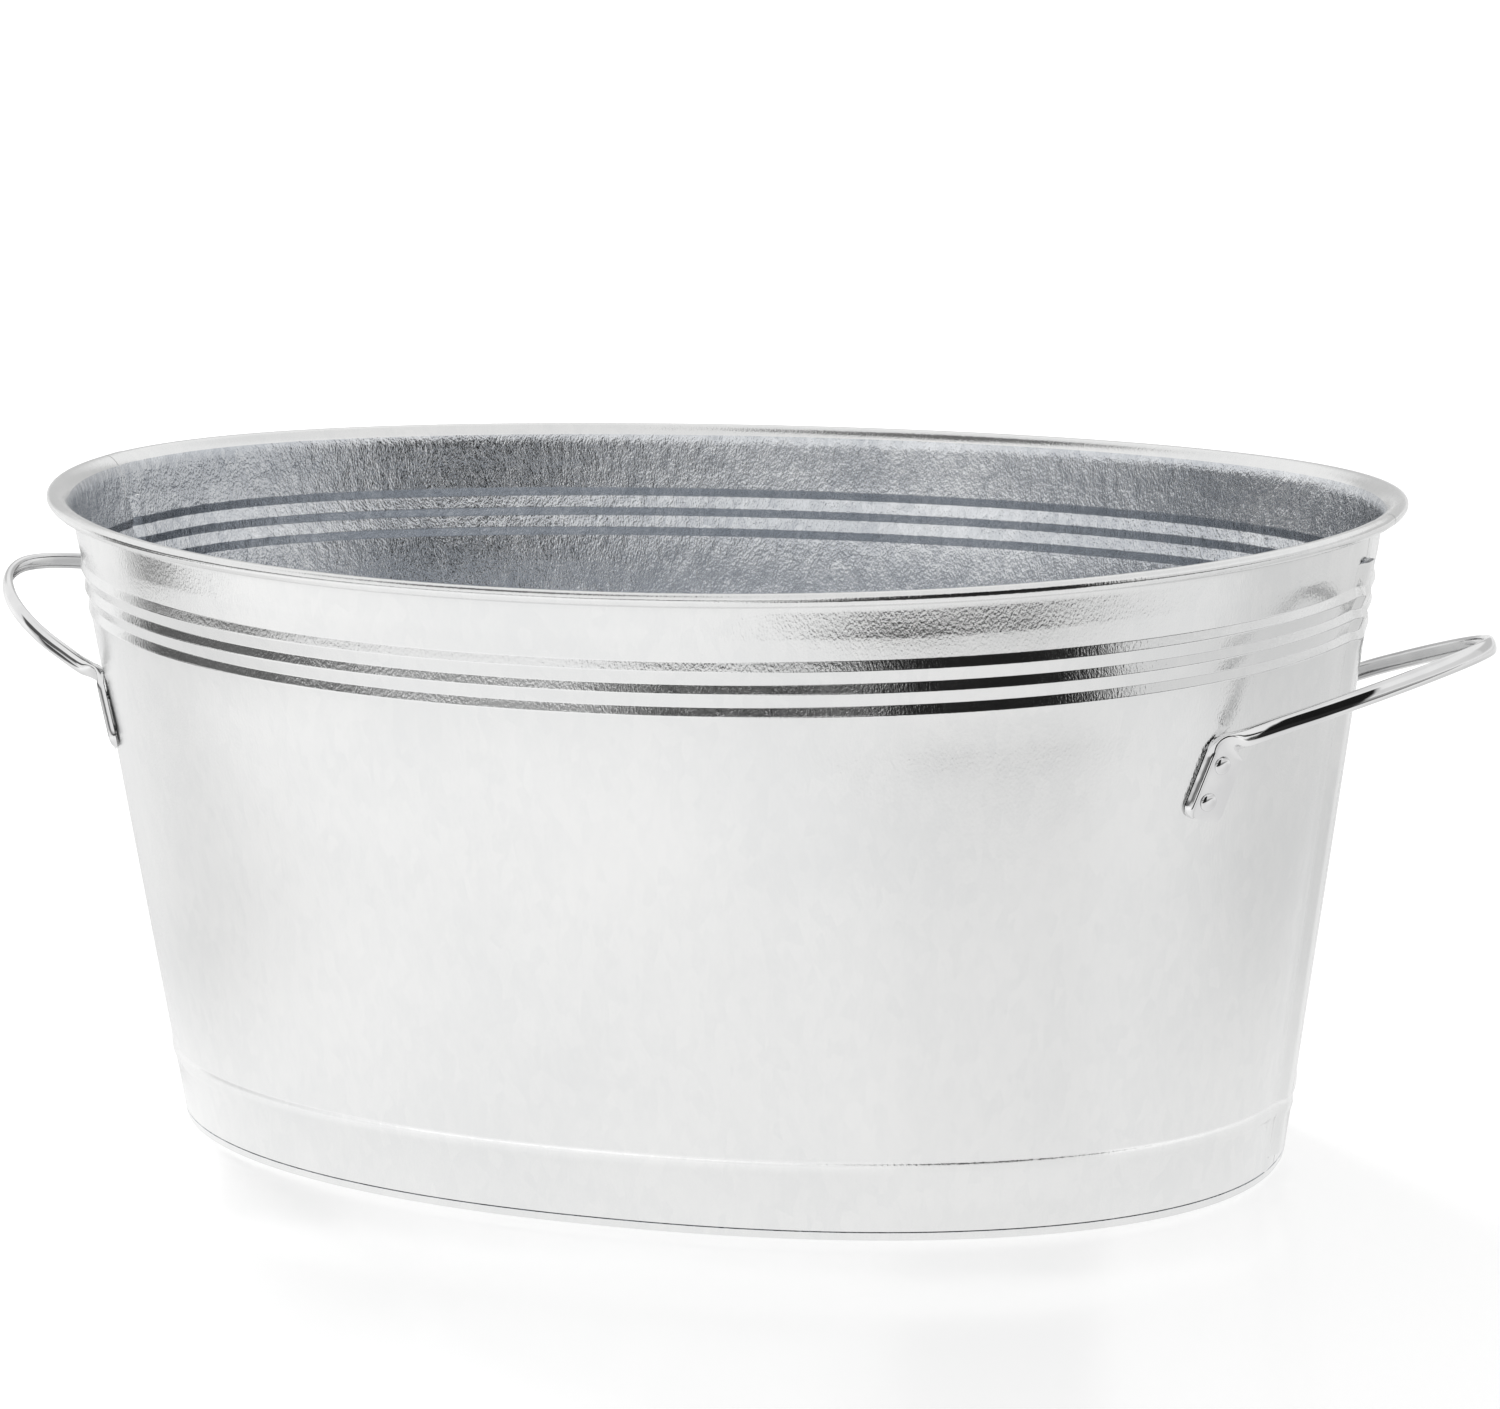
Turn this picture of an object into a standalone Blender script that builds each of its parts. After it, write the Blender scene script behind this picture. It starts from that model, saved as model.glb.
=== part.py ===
"""Galvanized beverage tub: two pressed half bodies hooked together down both ends, a floor pan
seamed round their foot, two channel handles with flat ears, and the rivets that hold them."""
import math

import bmesh
import bpy
from mathutils import Matrix, Vector

# Sheet and clearance
SHEET = 0.0005
GAP = 0.0003
LAYER = SHEET + GAP

# Oval of the wall, measured at the foot and at the shoulder under the rim
FOOT_LEVEL = 0.0030
FOOT_HALF_LENGTH = 0.2132
FOOT_HALF_WIDTH = 0.1305
FOOT_SQUARENESS_SHARE = 2.167
SHOULDER_LEVEL = 0.2320
SHOULDER_HALF_LENGTH = 0.2455
SHOULDER_HALF_WIDTH = 0.1704
SHOULDER_SQUARENESS_SHARE = 2.04

# Rise of the rim and of the upper beads at the ends, and their fall at the long sides
SADDLE_RISE = 0.0032
SADDLE_FLAT = 0.00025

# Rolled rim
FLARE_REACH = 0.0055
FLARE_HEIGHT = 0.00785
FLARE_TURNS = (32.0, 60.0, 90.0)
ROLL_HALF_DEPTH = 0.00275
ROLL_HALF_HEIGHT = 0.00225
ROLL_TURNS = (45.0, 90.0, 135.0, 180.0, 230.0)

# Three pressed beads under the rim
BEAD_TOP_LEVEL = 0.2151
BEAD_PITCH = 0.0079
BEAD_COUNT = 3
BEAD_CREST_RISE = 0.00065
BEAD_CREASE_DEPTH = 0.00070
BEAD_TOP_DEPTH = 0.00055
BEAD_CREST_SHARE = 0.42
BEAD_FOOT_SHARE = 0.95
BEAD_RETURN = 0.0070

# Low bead
LOW_BEAD_TOP_LEVEL = 0.0306
LOW_BEAD_CREST_LEVEL = 0.0286
LOW_BEAD_FOOT_LEVEL = 0.0242
LOW_BEAD_RISE = 0.0006

# Foot of the body, set in so that the folded hem is flush with the wall
BODY_EDGE_LEVEL = 0.0011
INSET_TOP_LEVEL = 0.0034
INSET_END_LEVEL = 0.0044

# Lock seams down the two ends
SEAM_TURN = -3.0
HOOK_BOTTOM_LEVEL = 0.0090
HOOK_TOP_LEVEL = 0.2235
HOOK_RELIEF = 0.0010
SEAM_JOIN = 0.0050
BUTT_HALF_GAP = GAP / 2
OVER_STEP_FOOT = 0.0040
OVER_STEP_TOP = 0.0033
OVER_FOLD = 0.0026
OVER_RETURN = 0.0014
UNDER_FOLD = 0.0018
UNDER_RETURN = 0.0019
FOLD_TURNS = (60.0, 0.0, -60.0)

# Floor pan
HEM_LAYERS = 2
HEM_TOP_LEVEL = 0.0031
HEM_CORNER_LEVEL = 0.0009
HEM_CORNER = 0.00035
PAN_WALL_TOP_LEVEL = 0.0095
PAN_CORNER_LEVEL = 0.0113
PAN_CORNER_INSET = 0.0010
FLOOR_LEVEL = 0.0120
FLOOR_EDGE_INSET = 0.0032
FLOOR_BEAD_INSET = 0.0260
FLOOR_BEAD_FLANK = 0.0030
FLOOR_BEAD_WIDTH = 0.0100
FLOOR_BEAD_RISE = 0.0016

# Handle ears
EAR_SPREAD = 26.3
EAR_FACET_HALF_SPREAD = 4.6
EAR_LEAN = 22.0
RIGHT_FRONT_EAR_LEVEL = 0.1600
RIGHT_BACK_EAR_LEVEL = 0.1532
LEFT_FRONT_EAR_LEVEL = 0.1580
LEFT_BACK_EAR_LEVEL = 0.1580
HANDLE_SHEET = 0.0008
RIVET_SPACING = 0.0134
EAR_BELOW_RIVET = 0.0065
EAR_ABOVE_RIVET = 0.0034
EAR_CORNER = 0.0037
EAR_CORNER_DROP_SHARES = (0.0, 0.32, 1.0)
EAR_CORNER_WIDTH_SHARES = (0.62, 0.86, 1.0)
EAR_CORNER_BEAD_SHARES = (0.3, 0.8, 1.0)
EAR_HALF_WIDTH = 0.0082
EAR_BEAD_RISE = 0.0022
EAR_SECTION_SHARES = (
    (1.0, 0.0),
    (1.02, 0.55),
    (0.89, 1.0),
    (0.73, 0.64),
    (0.63, 0.05),
    (0.0, 0.0),
    (-0.49, 0.0),
    (-1.0, 0.0),
)

# Handle loops
LOOP_HALF_WIDTH = 0.0028
LOOP_DEPTH = 0.0028
LOOP_SECTION_SHARES = (
    (0.79, -1.0),
    (1.0, -0.68),
    (0.96, -0.25),
    (0.57, 0.0),
    (-0.57, 0.0),
    (-0.96, -0.25),
    (-1.0, -0.68),
    (-0.79, -1.0),
)
RIGHT_LOOP_TILT = 20.0
LEFT_LOOP_TILT = 18.0
RIGHT_LOOP_REACH = 0.0713
LEFT_LOOP_REACH = 0.0748
LOOP_REACH_SHARE = 1.48
LOOP_WIDTH_SHARE = 1.1
LOOP_STATIONS = 8
ROOT_RISE = 0.0086
ROOT_STAND_OFF = 0.0065
BEND_PULL = 0.0040
BEND_SHARES = (0.2, 0.4, 0.6, 0.8)
BEND_TURN_SHARE = 1.1
BEND_WIDTH_SHARE = 1.1
BEND_DEPTH_SHARE = 3.2

# Rivets
SHANK_RADIUS = 0.0017
HEAD_RADIUS = 0.0030
HEAD_HEIGHT = 0.0018
TAIL_RADIUS = 0.0026
TAIL_HEIGHT = 0.0010
HEAD_TURNS = (90.0, 58.0, 26.0)
RIVET_SIDES = 12
HOLE_CUT_LENGTH = 0.0120

# Columns round each half body, with one where the oval is widest
WIDEST_TURN = -90.0
END_COLUMNS = 3
SIDE_COLUMNS = 7

# Edges sharper than this stay crisp, and points closer than this are one
SHARP_TURN = 40.0
MERGE_DISTANCE = 0.00001

GALVANIZED = ("galvanized_steel", (0.60, 0.61, 0.61, 1.0), 0.38, 1.0)
CHROMED = ("chromed_steel", (0.78, 0.79, 0.80, 1.0), 0.10, 1.0)


def clear_objects():
    """Start from an empty file."""
    for item in list(bpy.data.objects):
        bpy.data.objects.remove(item, do_unlink=True)


def make_collection(name):
    """A collection linked to the scene."""
    collection = bpy.data.collections.new(name)
    bpy.context.scene.collection.children.link(collection)
    return collection


def make_material(finish):
    """One plain metal finish."""
    name, colour, roughness, metallic = finish
    material = bpy.data.materials.new(name)
    material.use_nodes = True
    shader = material.node_tree.nodes["Principled BSDF"]
    shader.inputs["Base Color"].default_value = colour
    shader.inputs["Roughness"].default_value = roughness
    shader.inputs["Metallic"].default_value = metallic
    material.diffuse_color = colour
    return material


def blend(start, end, share):
    """Value that lies a share of the way from start to end."""
    return start + (end - start) * share


def power(value, exponent):
    """Power of a signed value that keeps its sign."""
    return math.copysign(abs(value) ** exponent, value)


def wall_frame(turn, level, saddle_share=0.0):
    """Point of the wall at a turn in degrees, with its level tangent and outward normal."""
    share = (level - FOOT_LEVEL) / (SHOULDER_LEVEL - FOOT_LEVEL)
    length = blend(FOOT_HALF_LENGTH, SHOULDER_HALF_LENGTH, share)
    width = blend(FOOT_HALF_WIDTH, SHOULDER_HALF_WIDTH, share)
    squareness = blend(FOOT_SQUARENESS_SHARE, SHOULDER_SQUARENESS_SHARE, share)
    angle = math.radians(turn)
    across = power(math.cos(angle), 2 / squareness)
    along = power(math.sin(angle), 2 / squareness)
    saddle = SADDLE_RISE * math.cos(2 * angle) + SADDLE_FLAT * math.cos(4 * angle)
    point = Vector((length * across, width * along, level + saddle_share * saddle))
    normal = Vector((power(across, squareness - 1) / length, power(along, squareness - 1) / width, 0.0))
    normal.normalize()
    tangent = Vector((-normal.y, normal.x, 0.0))
    return point, tangent, normal


def wall_point(column, row):
    """Point of a sheet: column is turn, slide and lift; row is offset, level and saddle share."""
    turn, slide, lift = column
    offset, level, saddle_share = row
    point, tangent, normal = wall_frame(turn, level, saddle_share)
    return point + tangent * slide + normal * (lift + offset)


def bead_rows():
    """The three upper beads: each swells out to a crest and steps back in to a crease above it."""
    rows = [(0.0, BEAD_TOP_LEVEL - (BEAD_COUNT - 1 + BEAD_FOOT_SHARE) * BEAD_PITCH, 1.0)]
    for index in range(BEAD_COUNT):
        crease = BEAD_TOP_LEVEL - (BEAD_COUNT - 1 - index) * BEAD_PITCH
        depth = BEAD_TOP_DEPTH if index == BEAD_COUNT - 1 else BEAD_CREASE_DEPTH
        rows.append((BEAD_CREST_RISE, crease - BEAD_PITCH * BEAD_CREST_SHARE, 1.0))
        rows.append((-depth, crease, 1.0))
    rows.append((0.0, BEAD_TOP_LEVEL + BEAD_RETURN, 1.0))
    return rows


def rim_rows():
    """Flare and outward roll of the rim."""
    rows = [(0.0, SHOULDER_LEVEL, 1.0)]
    for turn in FLARE_TURNS:
        angle = math.radians(turn)
        offset = FLARE_REACH * (1 - math.cos(angle))
        rows.append((offset, SHOULDER_LEVEL + FLARE_HEIGHT * math.sin(angle), 1.0))
    centre = SHOULDER_LEVEL + FLARE_HEIGHT - ROLL_HALF_HEIGHT
    for turn in ROLL_TURNS:
        angle = math.radians(turn)
        offset = FLARE_REACH + ROLL_HALF_DEPTH * math.sin(angle)
        rows.append((offset, centre + ROLL_HALF_HEIGHT * math.cos(angle), 1.0))
    return rows


def foot_rows():
    """Foot of the body up to the bottom of the lock seam."""
    return [
        (-LAYER, BODY_EDGE_LEVEL, 0.0),
        (-LAYER, INSET_TOP_LEVEL, 0.0),
        (0.0, INSET_END_LEVEL, 0.0),
        (0.0, HOOK_BOTTOM_LEVEL - HOOK_RELIEF, 0.0),
    ]


def hook_rows():
    """Part of the body that carries the lock seams."""
    rows = [
        (0.0, HOOK_BOTTOM_LEVEL, 0.0),
        (0.0, LOW_BEAD_FOOT_LEVEL, 0.0),
        (LOW_BEAD_RISE, LOW_BEAD_CREST_LEVEL, 0.0),
        (0.0, LOW_BEAD_TOP_LEVEL, 0.0),
    ]
    rows += bead_rows()
    rows.append((0.0, HOOK_TOP_LEVEL, 1.0))
    return rows


def main_columns():
    """Columns of the front half from the right seam round to the left seam, with flat ear facets."""
    right_ear = SEAM_TURN - EAR_SPREAD
    left_ear = SEAM_TURN - 180.0 + EAR_SPREAD
    stops = [
        SEAM_TURN,
        right_ear + EAR_FACET_HALF_SPREAD,
        right_ear - EAR_FACET_HALF_SPREAD,
        WIDEST_TURN,
        left_ear + EAR_FACET_HALF_SPREAD,
        left_ear - EAR_FACET_HALF_SPREAD,
        SEAM_TURN - 180.0,
    ]
    counts = [END_COLUMNS, 1, SIDE_COLUMNS, SIDE_COLUMNS, 1, END_COLUMNS]
    columns = [(SEAM_TURN, -SEAM_JOIN, 0.0)]
    for start, end, count in zip(stops, stops[1:], counts):
        for index in range(1, count + 1):
            columns.append((blend(start, end, index / count), 0.0, 0.0))
    columns[-1] = (SEAM_TURN - 180.0, SEAM_JOIN, 0.0)
    return columns


def over_hook_columns():
    """Hook that lies over the other half, from its free end back to the wall."""
    columns = [(SEAM_TURN, -OVER_RETURN, LAYER), (SEAM_TURN, OVER_FOLD, LAYER)]
    for turn in reversed(FOLD_TURNS):
        angle = math.radians(turn)
        slide = OVER_FOLD + LAYER * math.cos(angle)
        columns.append((SEAM_TURN, slide, 2 * LAYER + LAYER * math.sin(angle)))
    columns.append((SEAM_TURN, OVER_FOLD, 3 * LAYER))
    columns.append((SEAM_TURN, -OVER_STEP_TOP, 3 * LAYER))
    columns.append((SEAM_TURN, -OVER_STEP_FOOT, 0.0))
    return columns


def under_hook_columns():
    """Hook that lies under the other half, from the wall out to its free end."""
    turn = SEAM_TURN - 180.0
    columns = [(turn, -UNDER_FOLD, 0.0)]
    for fold_turn in reversed(FOLD_TURNS):
        angle = math.radians(fold_turn)
        slide = -UNDER_FOLD - LAYER * math.cos(angle)
        columns.append((turn, slide, LAYER + LAYER * math.sin(angle)))
    columns.append((turn, -UNDER_FOLD, 2 * LAYER))
    columns.append((turn, UNDER_RETURN, 2 * LAYER))
    return columns


def add_patch(mesh, made, columns, rows, turned):
    """Quads over every pair of neighbouring columns and rows."""
    def vertex(column, row):
        key = (column, row)
        if key not in made:
            point = wall_point(column, row)
            if turned:
                point = Vector((-point.x, -point.y, point.z))
            made[key] = mesh.verts.new(point)
        return made[key]

    for left, right in zip(columns, columns[1:]):
        for low, high in zip(rows, rows[1:]):
            corners = (vertex(left, low), vertex(right, low), vertex(right, high), vertex(left, high))
            mesh.faces.new(corners)


def finish_mesh(name, mesh, collection, material):
    """Turn a bmesh into a named object with one material."""
    bmesh.ops.recalc_face_normals(mesh, faces=mesh.faces)
    data = bpy.data.meshes.new(name)
    mesh.to_mesh(data)
    mesh.free()
    item = bpy.data.objects.new(name, data)
    collection.objects.link(item)
    if material is not None:
        data.materials.append(material)
    data.shade_smooth()
    data.set_sharp_from_angle(angle=math.radians(SHARP_TURN))
    return item


def thicken(item, thickness):
    """Give an open surface the thickness of its sheet, half to each side."""
    solid = item.modifiers.new("Sheet", "SOLIDIFY")
    solid.thickness = thickness
    solid.offset = 0.0
    solid.use_even_offset = True
    solid.use_quality_normals = True


def build_half_body(name, collection, material, turned):
    """One half of the body with an over hook at one end and an under hook at the other."""
    mesh = bmesh.new()
    made = {}
    main = main_columns()
    foot = foot_rows()
    hook = hook_rows()
    rim = [(0.0, HOOK_TOP_LEVEL + HOOK_RELIEF, 1.0)] + rim_rows()
    add_patch(mesh, made, main, foot + hook + rim, turned)
    for rows in (foot, rim):
        add_patch(mesh, made, [(SEAM_TURN, -BUTT_HALF_GAP, 0.0), main[0]], rows, turned)
        add_patch(mesh, made, [main[-1], (SEAM_TURN - 180.0, BUTT_HALF_GAP, 0.0)], rows, turned)
    add_patch(mesh, made, over_hook_columns() + [main[0]], hook, turned)
    add_patch(mesh, made, [main[-1]] + under_hook_columns(), hook, turned)
    item = finish_mesh(name, mesh, collection, material)
    thicken(item, SHEET)
    return item


def pan_rows():
    """Floor pan from the top of its folded hem in to the edge of the flat floor."""
    inner = -HEM_LAYERS * LAYER
    low = SHEET / 2
    bead_outer = inner - FLOOR_BEAD_INSET
    bead_inner = bead_outer - FLOOR_BEAD_WIDTH
    crest = FLOOR_LEVEL + FLOOR_BEAD_RISE
    return [
        (0.0, HEM_TOP_LEVEL, 0.0),
        (0.0, HEM_CORNER_LEVEL, 0.0),
        (-HEM_CORNER, low, 0.0),
        (inner + HEM_CORNER, low, 0.0),
        (inner, HEM_CORNER_LEVEL, 0.0),
        (inner, PAN_WALL_TOP_LEVEL, 0.0),
        (inner - PAN_CORNER_INSET, PAN_CORNER_LEVEL, 0.0),
        (inner - FLOOR_EDGE_INSET, FLOOR_LEVEL, 0.0),
        (bead_outer, FLOOR_LEVEL, 0.0),
        (bead_outer - FLOOR_BEAD_FLANK, crest, 0.0),
        (bead_inner + FLOOR_BEAD_FLANK, crest, 0.0),
        (bead_inner, FLOOR_LEVEL, 0.0),
    ]


def build_bottom(collection, material):
    """The floor pan with its hem folded round the foot of both halves."""
    mesh = bmesh.new()
    half = main_columns()
    rings = []
    for row in pan_rows():
        points = [wall_point(column, row) for column in half]
        points += [Vector((-point.x, -point.y, point.z)) for point in points]
        rings.append([mesh.verts.new(point) for point in points])
    count = len(rings[0])
    for outer, inner in zip(rings, rings[1:]):
        for index in range(count):
            after = (index + 1) % count
            mesh.faces.new((outer[index], outer[after], inner[after], inner[index]))
    mesh.faces.new(rings[-1])
    item = finish_mesh("bottom", mesh, collection, material)
    thicken(item, SHEET)
    return item


class Ear:
    """Where one ear of a handle lies on the wall, and which way it faces."""

    def __init__(self, side, end, level):
        self.side = side
        self.end = end
        seam = SEAM_TURN if side == "right" else SEAM_TURN - 180.0
        forward = -1.0 if (side == "right") == (end == "front") else 1.0
        turn = seam + forward * EAR_SPREAD
        near = turn - forward * EAR_FACET_HALF_SPREAD
        far = turn + forward * EAR_FACET_HALF_SPREAD
        low = (0.0, LOW_BEAD_TOP_LEVEL, 0.0)
        high = bead_rows()[0]
        share = (level - low[1]) / (high[1] - low[1])
        near_low = wall_point((near, 0.0, 0.0), low)
        near_high = wall_point((near, 0.0, 0.0), high)
        far_low = wall_point((far, 0.0, 0.0), low)
        far_high = wall_point((far, 0.0, 0.0), high)
        near_mid = near_low.lerp(near_high, share)
        far_mid = far_low.lerp(far_high, share)
        away = (far_mid - near_mid).normalized()
        down = (near_low.lerp(far_low, 0.5) - near_high.lerp(far_high, 0.5)).normalized()
        self.normal = away.cross(down)
        self.normal.normalize()
        wall = near_mid.lerp(far_mid, 0.5)
        if self.normal.dot(Vector((wall.x, wall.y, 0.0))) < 0:
            self.normal.negate()
        down = (down - away * down.dot(away)).normalized()
        lean = math.radians(EAR_LEAN)
        self.lead = away * math.cos(lean) - down * math.sin(lean)
        self.down = down * math.cos(lean) + away * math.sin(lean)
        self.origin = wall + self.normal * (SHEET / 2 + GAP + HANDLE_SHEET / 2)

    def at(self, drop):
        """Point of the ear's middle line, a drop below its centre."""
        return self.origin + self.down * drop

    def rivet_points(self):
        """Points of the middle line where the rivets pass, upper one first."""
        return [self.at(-RIVET_SPACING / 2), self.at(RIVET_SPACING / 2)]


def frame_turn(along, lead, normal):
    """Rotation that carries the axes to a station's own directions."""
    return Matrix((along, lead, normal)).transposed().to_quaternion()


def ear_section(width_share=1.0, bead_share=1.0):
    """Section of the flat ear with the bead along its leading edge, as across and rise."""
    width = EAR_HALF_WIDTH * width_share
    bead = EAR_BEAD_RISE * bead_share
    return [(width * across, bead * rise) for across, rise in EAR_SECTION_SHARES]


def loop_section():
    """Section of the loop's channel, as across and rise."""
    return [(LOOP_HALF_WIDTH * across, LOOP_DEPTH * rise) for across, rise in LOOP_SECTION_SHARES]


def blend_section(share):
    """Section part way from the ear's flat plate to the loop's channel: it narrows, then deepens."""
    section = []
    for ear_point, loop_point in zip(ear_section(), loop_section()):
        across = blend(ear_point[0], loop_point[0], share ** BEND_WIDTH_SHARE)
        rise = blend(ear_point[1], loop_point[1], share ** BEND_DEPTH_SHARE)
        section.append((across, rise))
    return section


def station_points(centre, lead, normal, section):
    """Points of one section, set across the handle."""
    return [centre + lead * across + normal * rise for across, rise in section]


def ear_stations(ear):
    """Sections of the flat ear, from its rounded end up to the bend."""
    end = RIVET_SPACING / 2 + EAR_BELOW_RIVET
    stations = []
    corner = zip(EAR_CORNER_DROP_SHARES, EAR_CORNER_WIDTH_SHARES, EAR_CORNER_BEAD_SHARES)
    for drop_share, width_share, bead_share in corner:
        centre = ear.at(end - EAR_CORNER * drop_share)
        section = ear_section(width_share, bead_share)
        stations.append(station_points(centre, ear.lead, ear.normal, section))
    top = ear.at(-RIVET_SPACING / 2 - EAR_ABOVE_RIVET)
    stations.append(station_points(top, ear.lead, ear.normal, ear_section()))
    return stations


def bezier(first, second, third, fourth, share):
    """Point of a cubic curve."""
    rest = 1 - share
    point = first * rest ** 3 + second * (3 * rest ** 2 * share)
    return point + third * (3 * rest * share ** 2) + fourth * share ** 3


def root_point(ear):
    """Point where the loop's leg starts, clear of the wall."""
    top = ear.at(-RIVET_SPACING / 2 - EAR_ABOVE_RIVET)
    return top - ear.down * ROOT_RISE + ear.normal * ROOT_STAND_OFF


class Loop:
    """Plane and outline of one handle's loop, strung between its two roots."""

    def __init__(self, first, last, tilt, reach):
        self.reach = reach
        start = root_point(first)
        end = root_point(last)
        self.middle = start.lerp(end, 0.5)
        self.half_width = (end - start).length / 2
        self.chord = (end - start).normalized()
        outward = Vector((self.middle.x, self.middle.y, 0.0))
        outward = (outward - self.chord * outward.dot(self.chord)).normalized()
        tilt = math.radians(tilt)
        upward = Vector((0.0, 0.0, 1.0))
        upward = upward - self.chord * upward.dot(self.chord) - outward * upward.dot(outward)
        upward.normalize()
        self.outward = outward * math.cos(tilt) + upward * math.sin(tilt)
        self.lead = upward * math.cos(tilt) - outward * math.sin(tilt)

    def point(self, turn):
        """Point of the loop's middle line; turn runs from -90 at the first root to 90 at the last."""
        angle = math.radians(90.0 - abs(turn))
        reach = self.reach * math.sin(angle) ** LOOP_REACH_SHARE
        width = self.half_width * math.copysign(math.cos(angle) ** LOOP_WIDTH_SHARE, turn)
        return self.middle + self.outward * reach + self.chord * width

    def frame(self, turn, step):
        """Directions along, up and out of the loop at a turn."""
        before = self.point(max(turn - step, -90.0))
        after = self.point(min(turn + step, 90.0))
        along = (after - before).normalized()
        normal = along.cross(self.lead)
        normal.normalize()
        return along, normal


def loop_stations(loop):
    """Sections of the loop from its first root to its last."""
    step = 90.0 / LOOP_STATIONS
    stations = []
    for index in range(-LOOP_STATIONS, LOOP_STATIONS + 1):
        turn = index * step
        normal = loop.frame(turn, step / 2)[1]
        stations.append(station_points(loop.point(turn), loop.lead, normal, loop_section()))
    return stations


def bend_stations(ear, loop, leg_turn):
    """Sections of the bend that carries the ear over into the leg."""
    step = 90.0 / LOOP_STATIONS / 2
    along, leg_normal = loop.frame(leg_turn, step)
    if leg_turn > 0:
        along = -along
    top = ear.at(-RIVET_SPACING / 2 - EAR_ABOVE_RIVET)
    root = loop.point(leg_turn)
    side = 1.0 if (-ear.down).cross(ear.lead).dot(ear.normal) > 0 else -1.0
    ear_turn = frame_turn(-ear.down, ear.lead, ear.normal * side)
    leg_frame = frame_turn(along, loop.lead, leg_normal * side)
    stations = []
    for share in BEND_SHARES:
        centre = bezier(top, top - ear.down * BEND_PULL, root - along * BEND_PULL, root, share)
        turned = ear_turn.slerp(leg_frame, share ** BEND_TURN_SHARE).to_matrix()
        lead = turned.col[1]
        normal = turned.col[2] * side
        stations.append(station_points(centre, lead, normal, blend_section(share)))
    return stations


def build_handle(name, loop, first, last, collection, material):
    """One handle: ear, bend, loop, bend and ear in one formed strip, anticlockwise from above."""
    stations = ear_stations(first)
    stations += bend_stations(first, loop, -90.0)
    stations += loop_stations(loop)
    stations += reversed(bend_stations(last, loop, 90.0))
    stations += reversed(ear_stations(last))
    mesh = bmesh.new()
    rows = [[mesh.verts.new(point) for point in station] for station in stations]
    for low, high in zip(rows, rows[1:]):
        for index in range(len(low) - 1):
            mesh.faces.new((low[index], low[index + 1], high[index + 1], high[index]))
    item = finish_mesh(name, mesh, collection, material)
    thicken(item, HANDLE_SHEET)
    return item


def rivet_profile():
    """Outer side of a rivet from the top of its head to the end of its tail."""
    points = []
    for turn in HEAD_TURNS:
        angle = math.radians(turn)
        points.append((HEAD_RADIUS * math.cos(angle), HEAD_HEIGHT * math.sin(angle)))
    points[0] = (0.0, HEAD_HEIGHT)
    points.append((HEAD_RADIUS, 0.0))
    points.append((SHANK_RADIUS, 0.0))
    tail = -(GAP + HANDLE_SHEET + GAP + SHEET + GAP)
    points.append((SHANK_RADIUS, tail))
    points.append((TAIL_RADIUS, tail))
    points.append((TAIL_RADIUS, tail - TAIL_HEIGHT / 2))
    points.append((SHANK_RADIUS, tail - TAIL_HEIGHT))
    points.append((0.0, tail - TAIL_HEIGHT))
    return points


def build_rivet(name, ear, point, mesh_data, collection):
    """A rivet through one ear and the wall behind it."""
    item = bpy.data.objects.new(name, mesh_data)
    collection.objects.link(item)
    item.location = point + ear.normal * (HANDLE_SHEET / 2 + GAP)
    item.rotation_mode = "QUATERNION"
    item.rotation_quaternion = ear.normal.to_track_quat("Z", "Y")
    screw = item.modifiers.new("Turned", "SCREW")
    screw.steps = RIVET_SIDES
    screw.render_steps = RIVET_SIDES
    screw.use_merge_vertices = True
    screw.merge_threshold = MERGE_DISTANCE
    return item


def rivet_mesh(material):
    """Profile shared by every rivet."""
    points = rivet_profile()
    data = bpy.data.meshes.new("rivet_profile")
    edges = [(index, index + 1) for index in range(len(points) - 1)]
    data.from_pydata([(radius, 0.0, height) for radius, height in points], edges, [])
    data.materials.append(material)
    return data


def build_hole_cutter(ear, guides):
    """Two round cutters through one ear and the wall behind it."""
    mesh = bmesh.new()
    turn = ear.normal.to_track_quat("Z", "Y").to_matrix().to_4x4()
    for point in ear.rivet_points():
        bmesh.ops.create_cone(
            mesh,
            cap_ends=True,
            segments=RIVET_SIDES,
            radius1=SHANK_RADIUS + GAP,
            radius2=SHANK_RADIUS + GAP,
            depth=HOLE_CUT_LENGTH,
            matrix=Matrix.Translation(point) @ turn,
        )
    cutter = finish_mesh("holes_%s_%s" % (ear.side, ear.end), mesh, guides, None)
    cutter.hide_render = True
    cutter.display_type = "WIRE"
    return cutter


def cut(item, cutter):
    """Take a cutter out of a solid."""
    boolean = item.modifiers.new("Holes", "BOOLEAN")
    boolean.operation = "DIFFERENCE"
    boolean.solver = "EXACT"
    boolean.object = cutter


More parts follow.
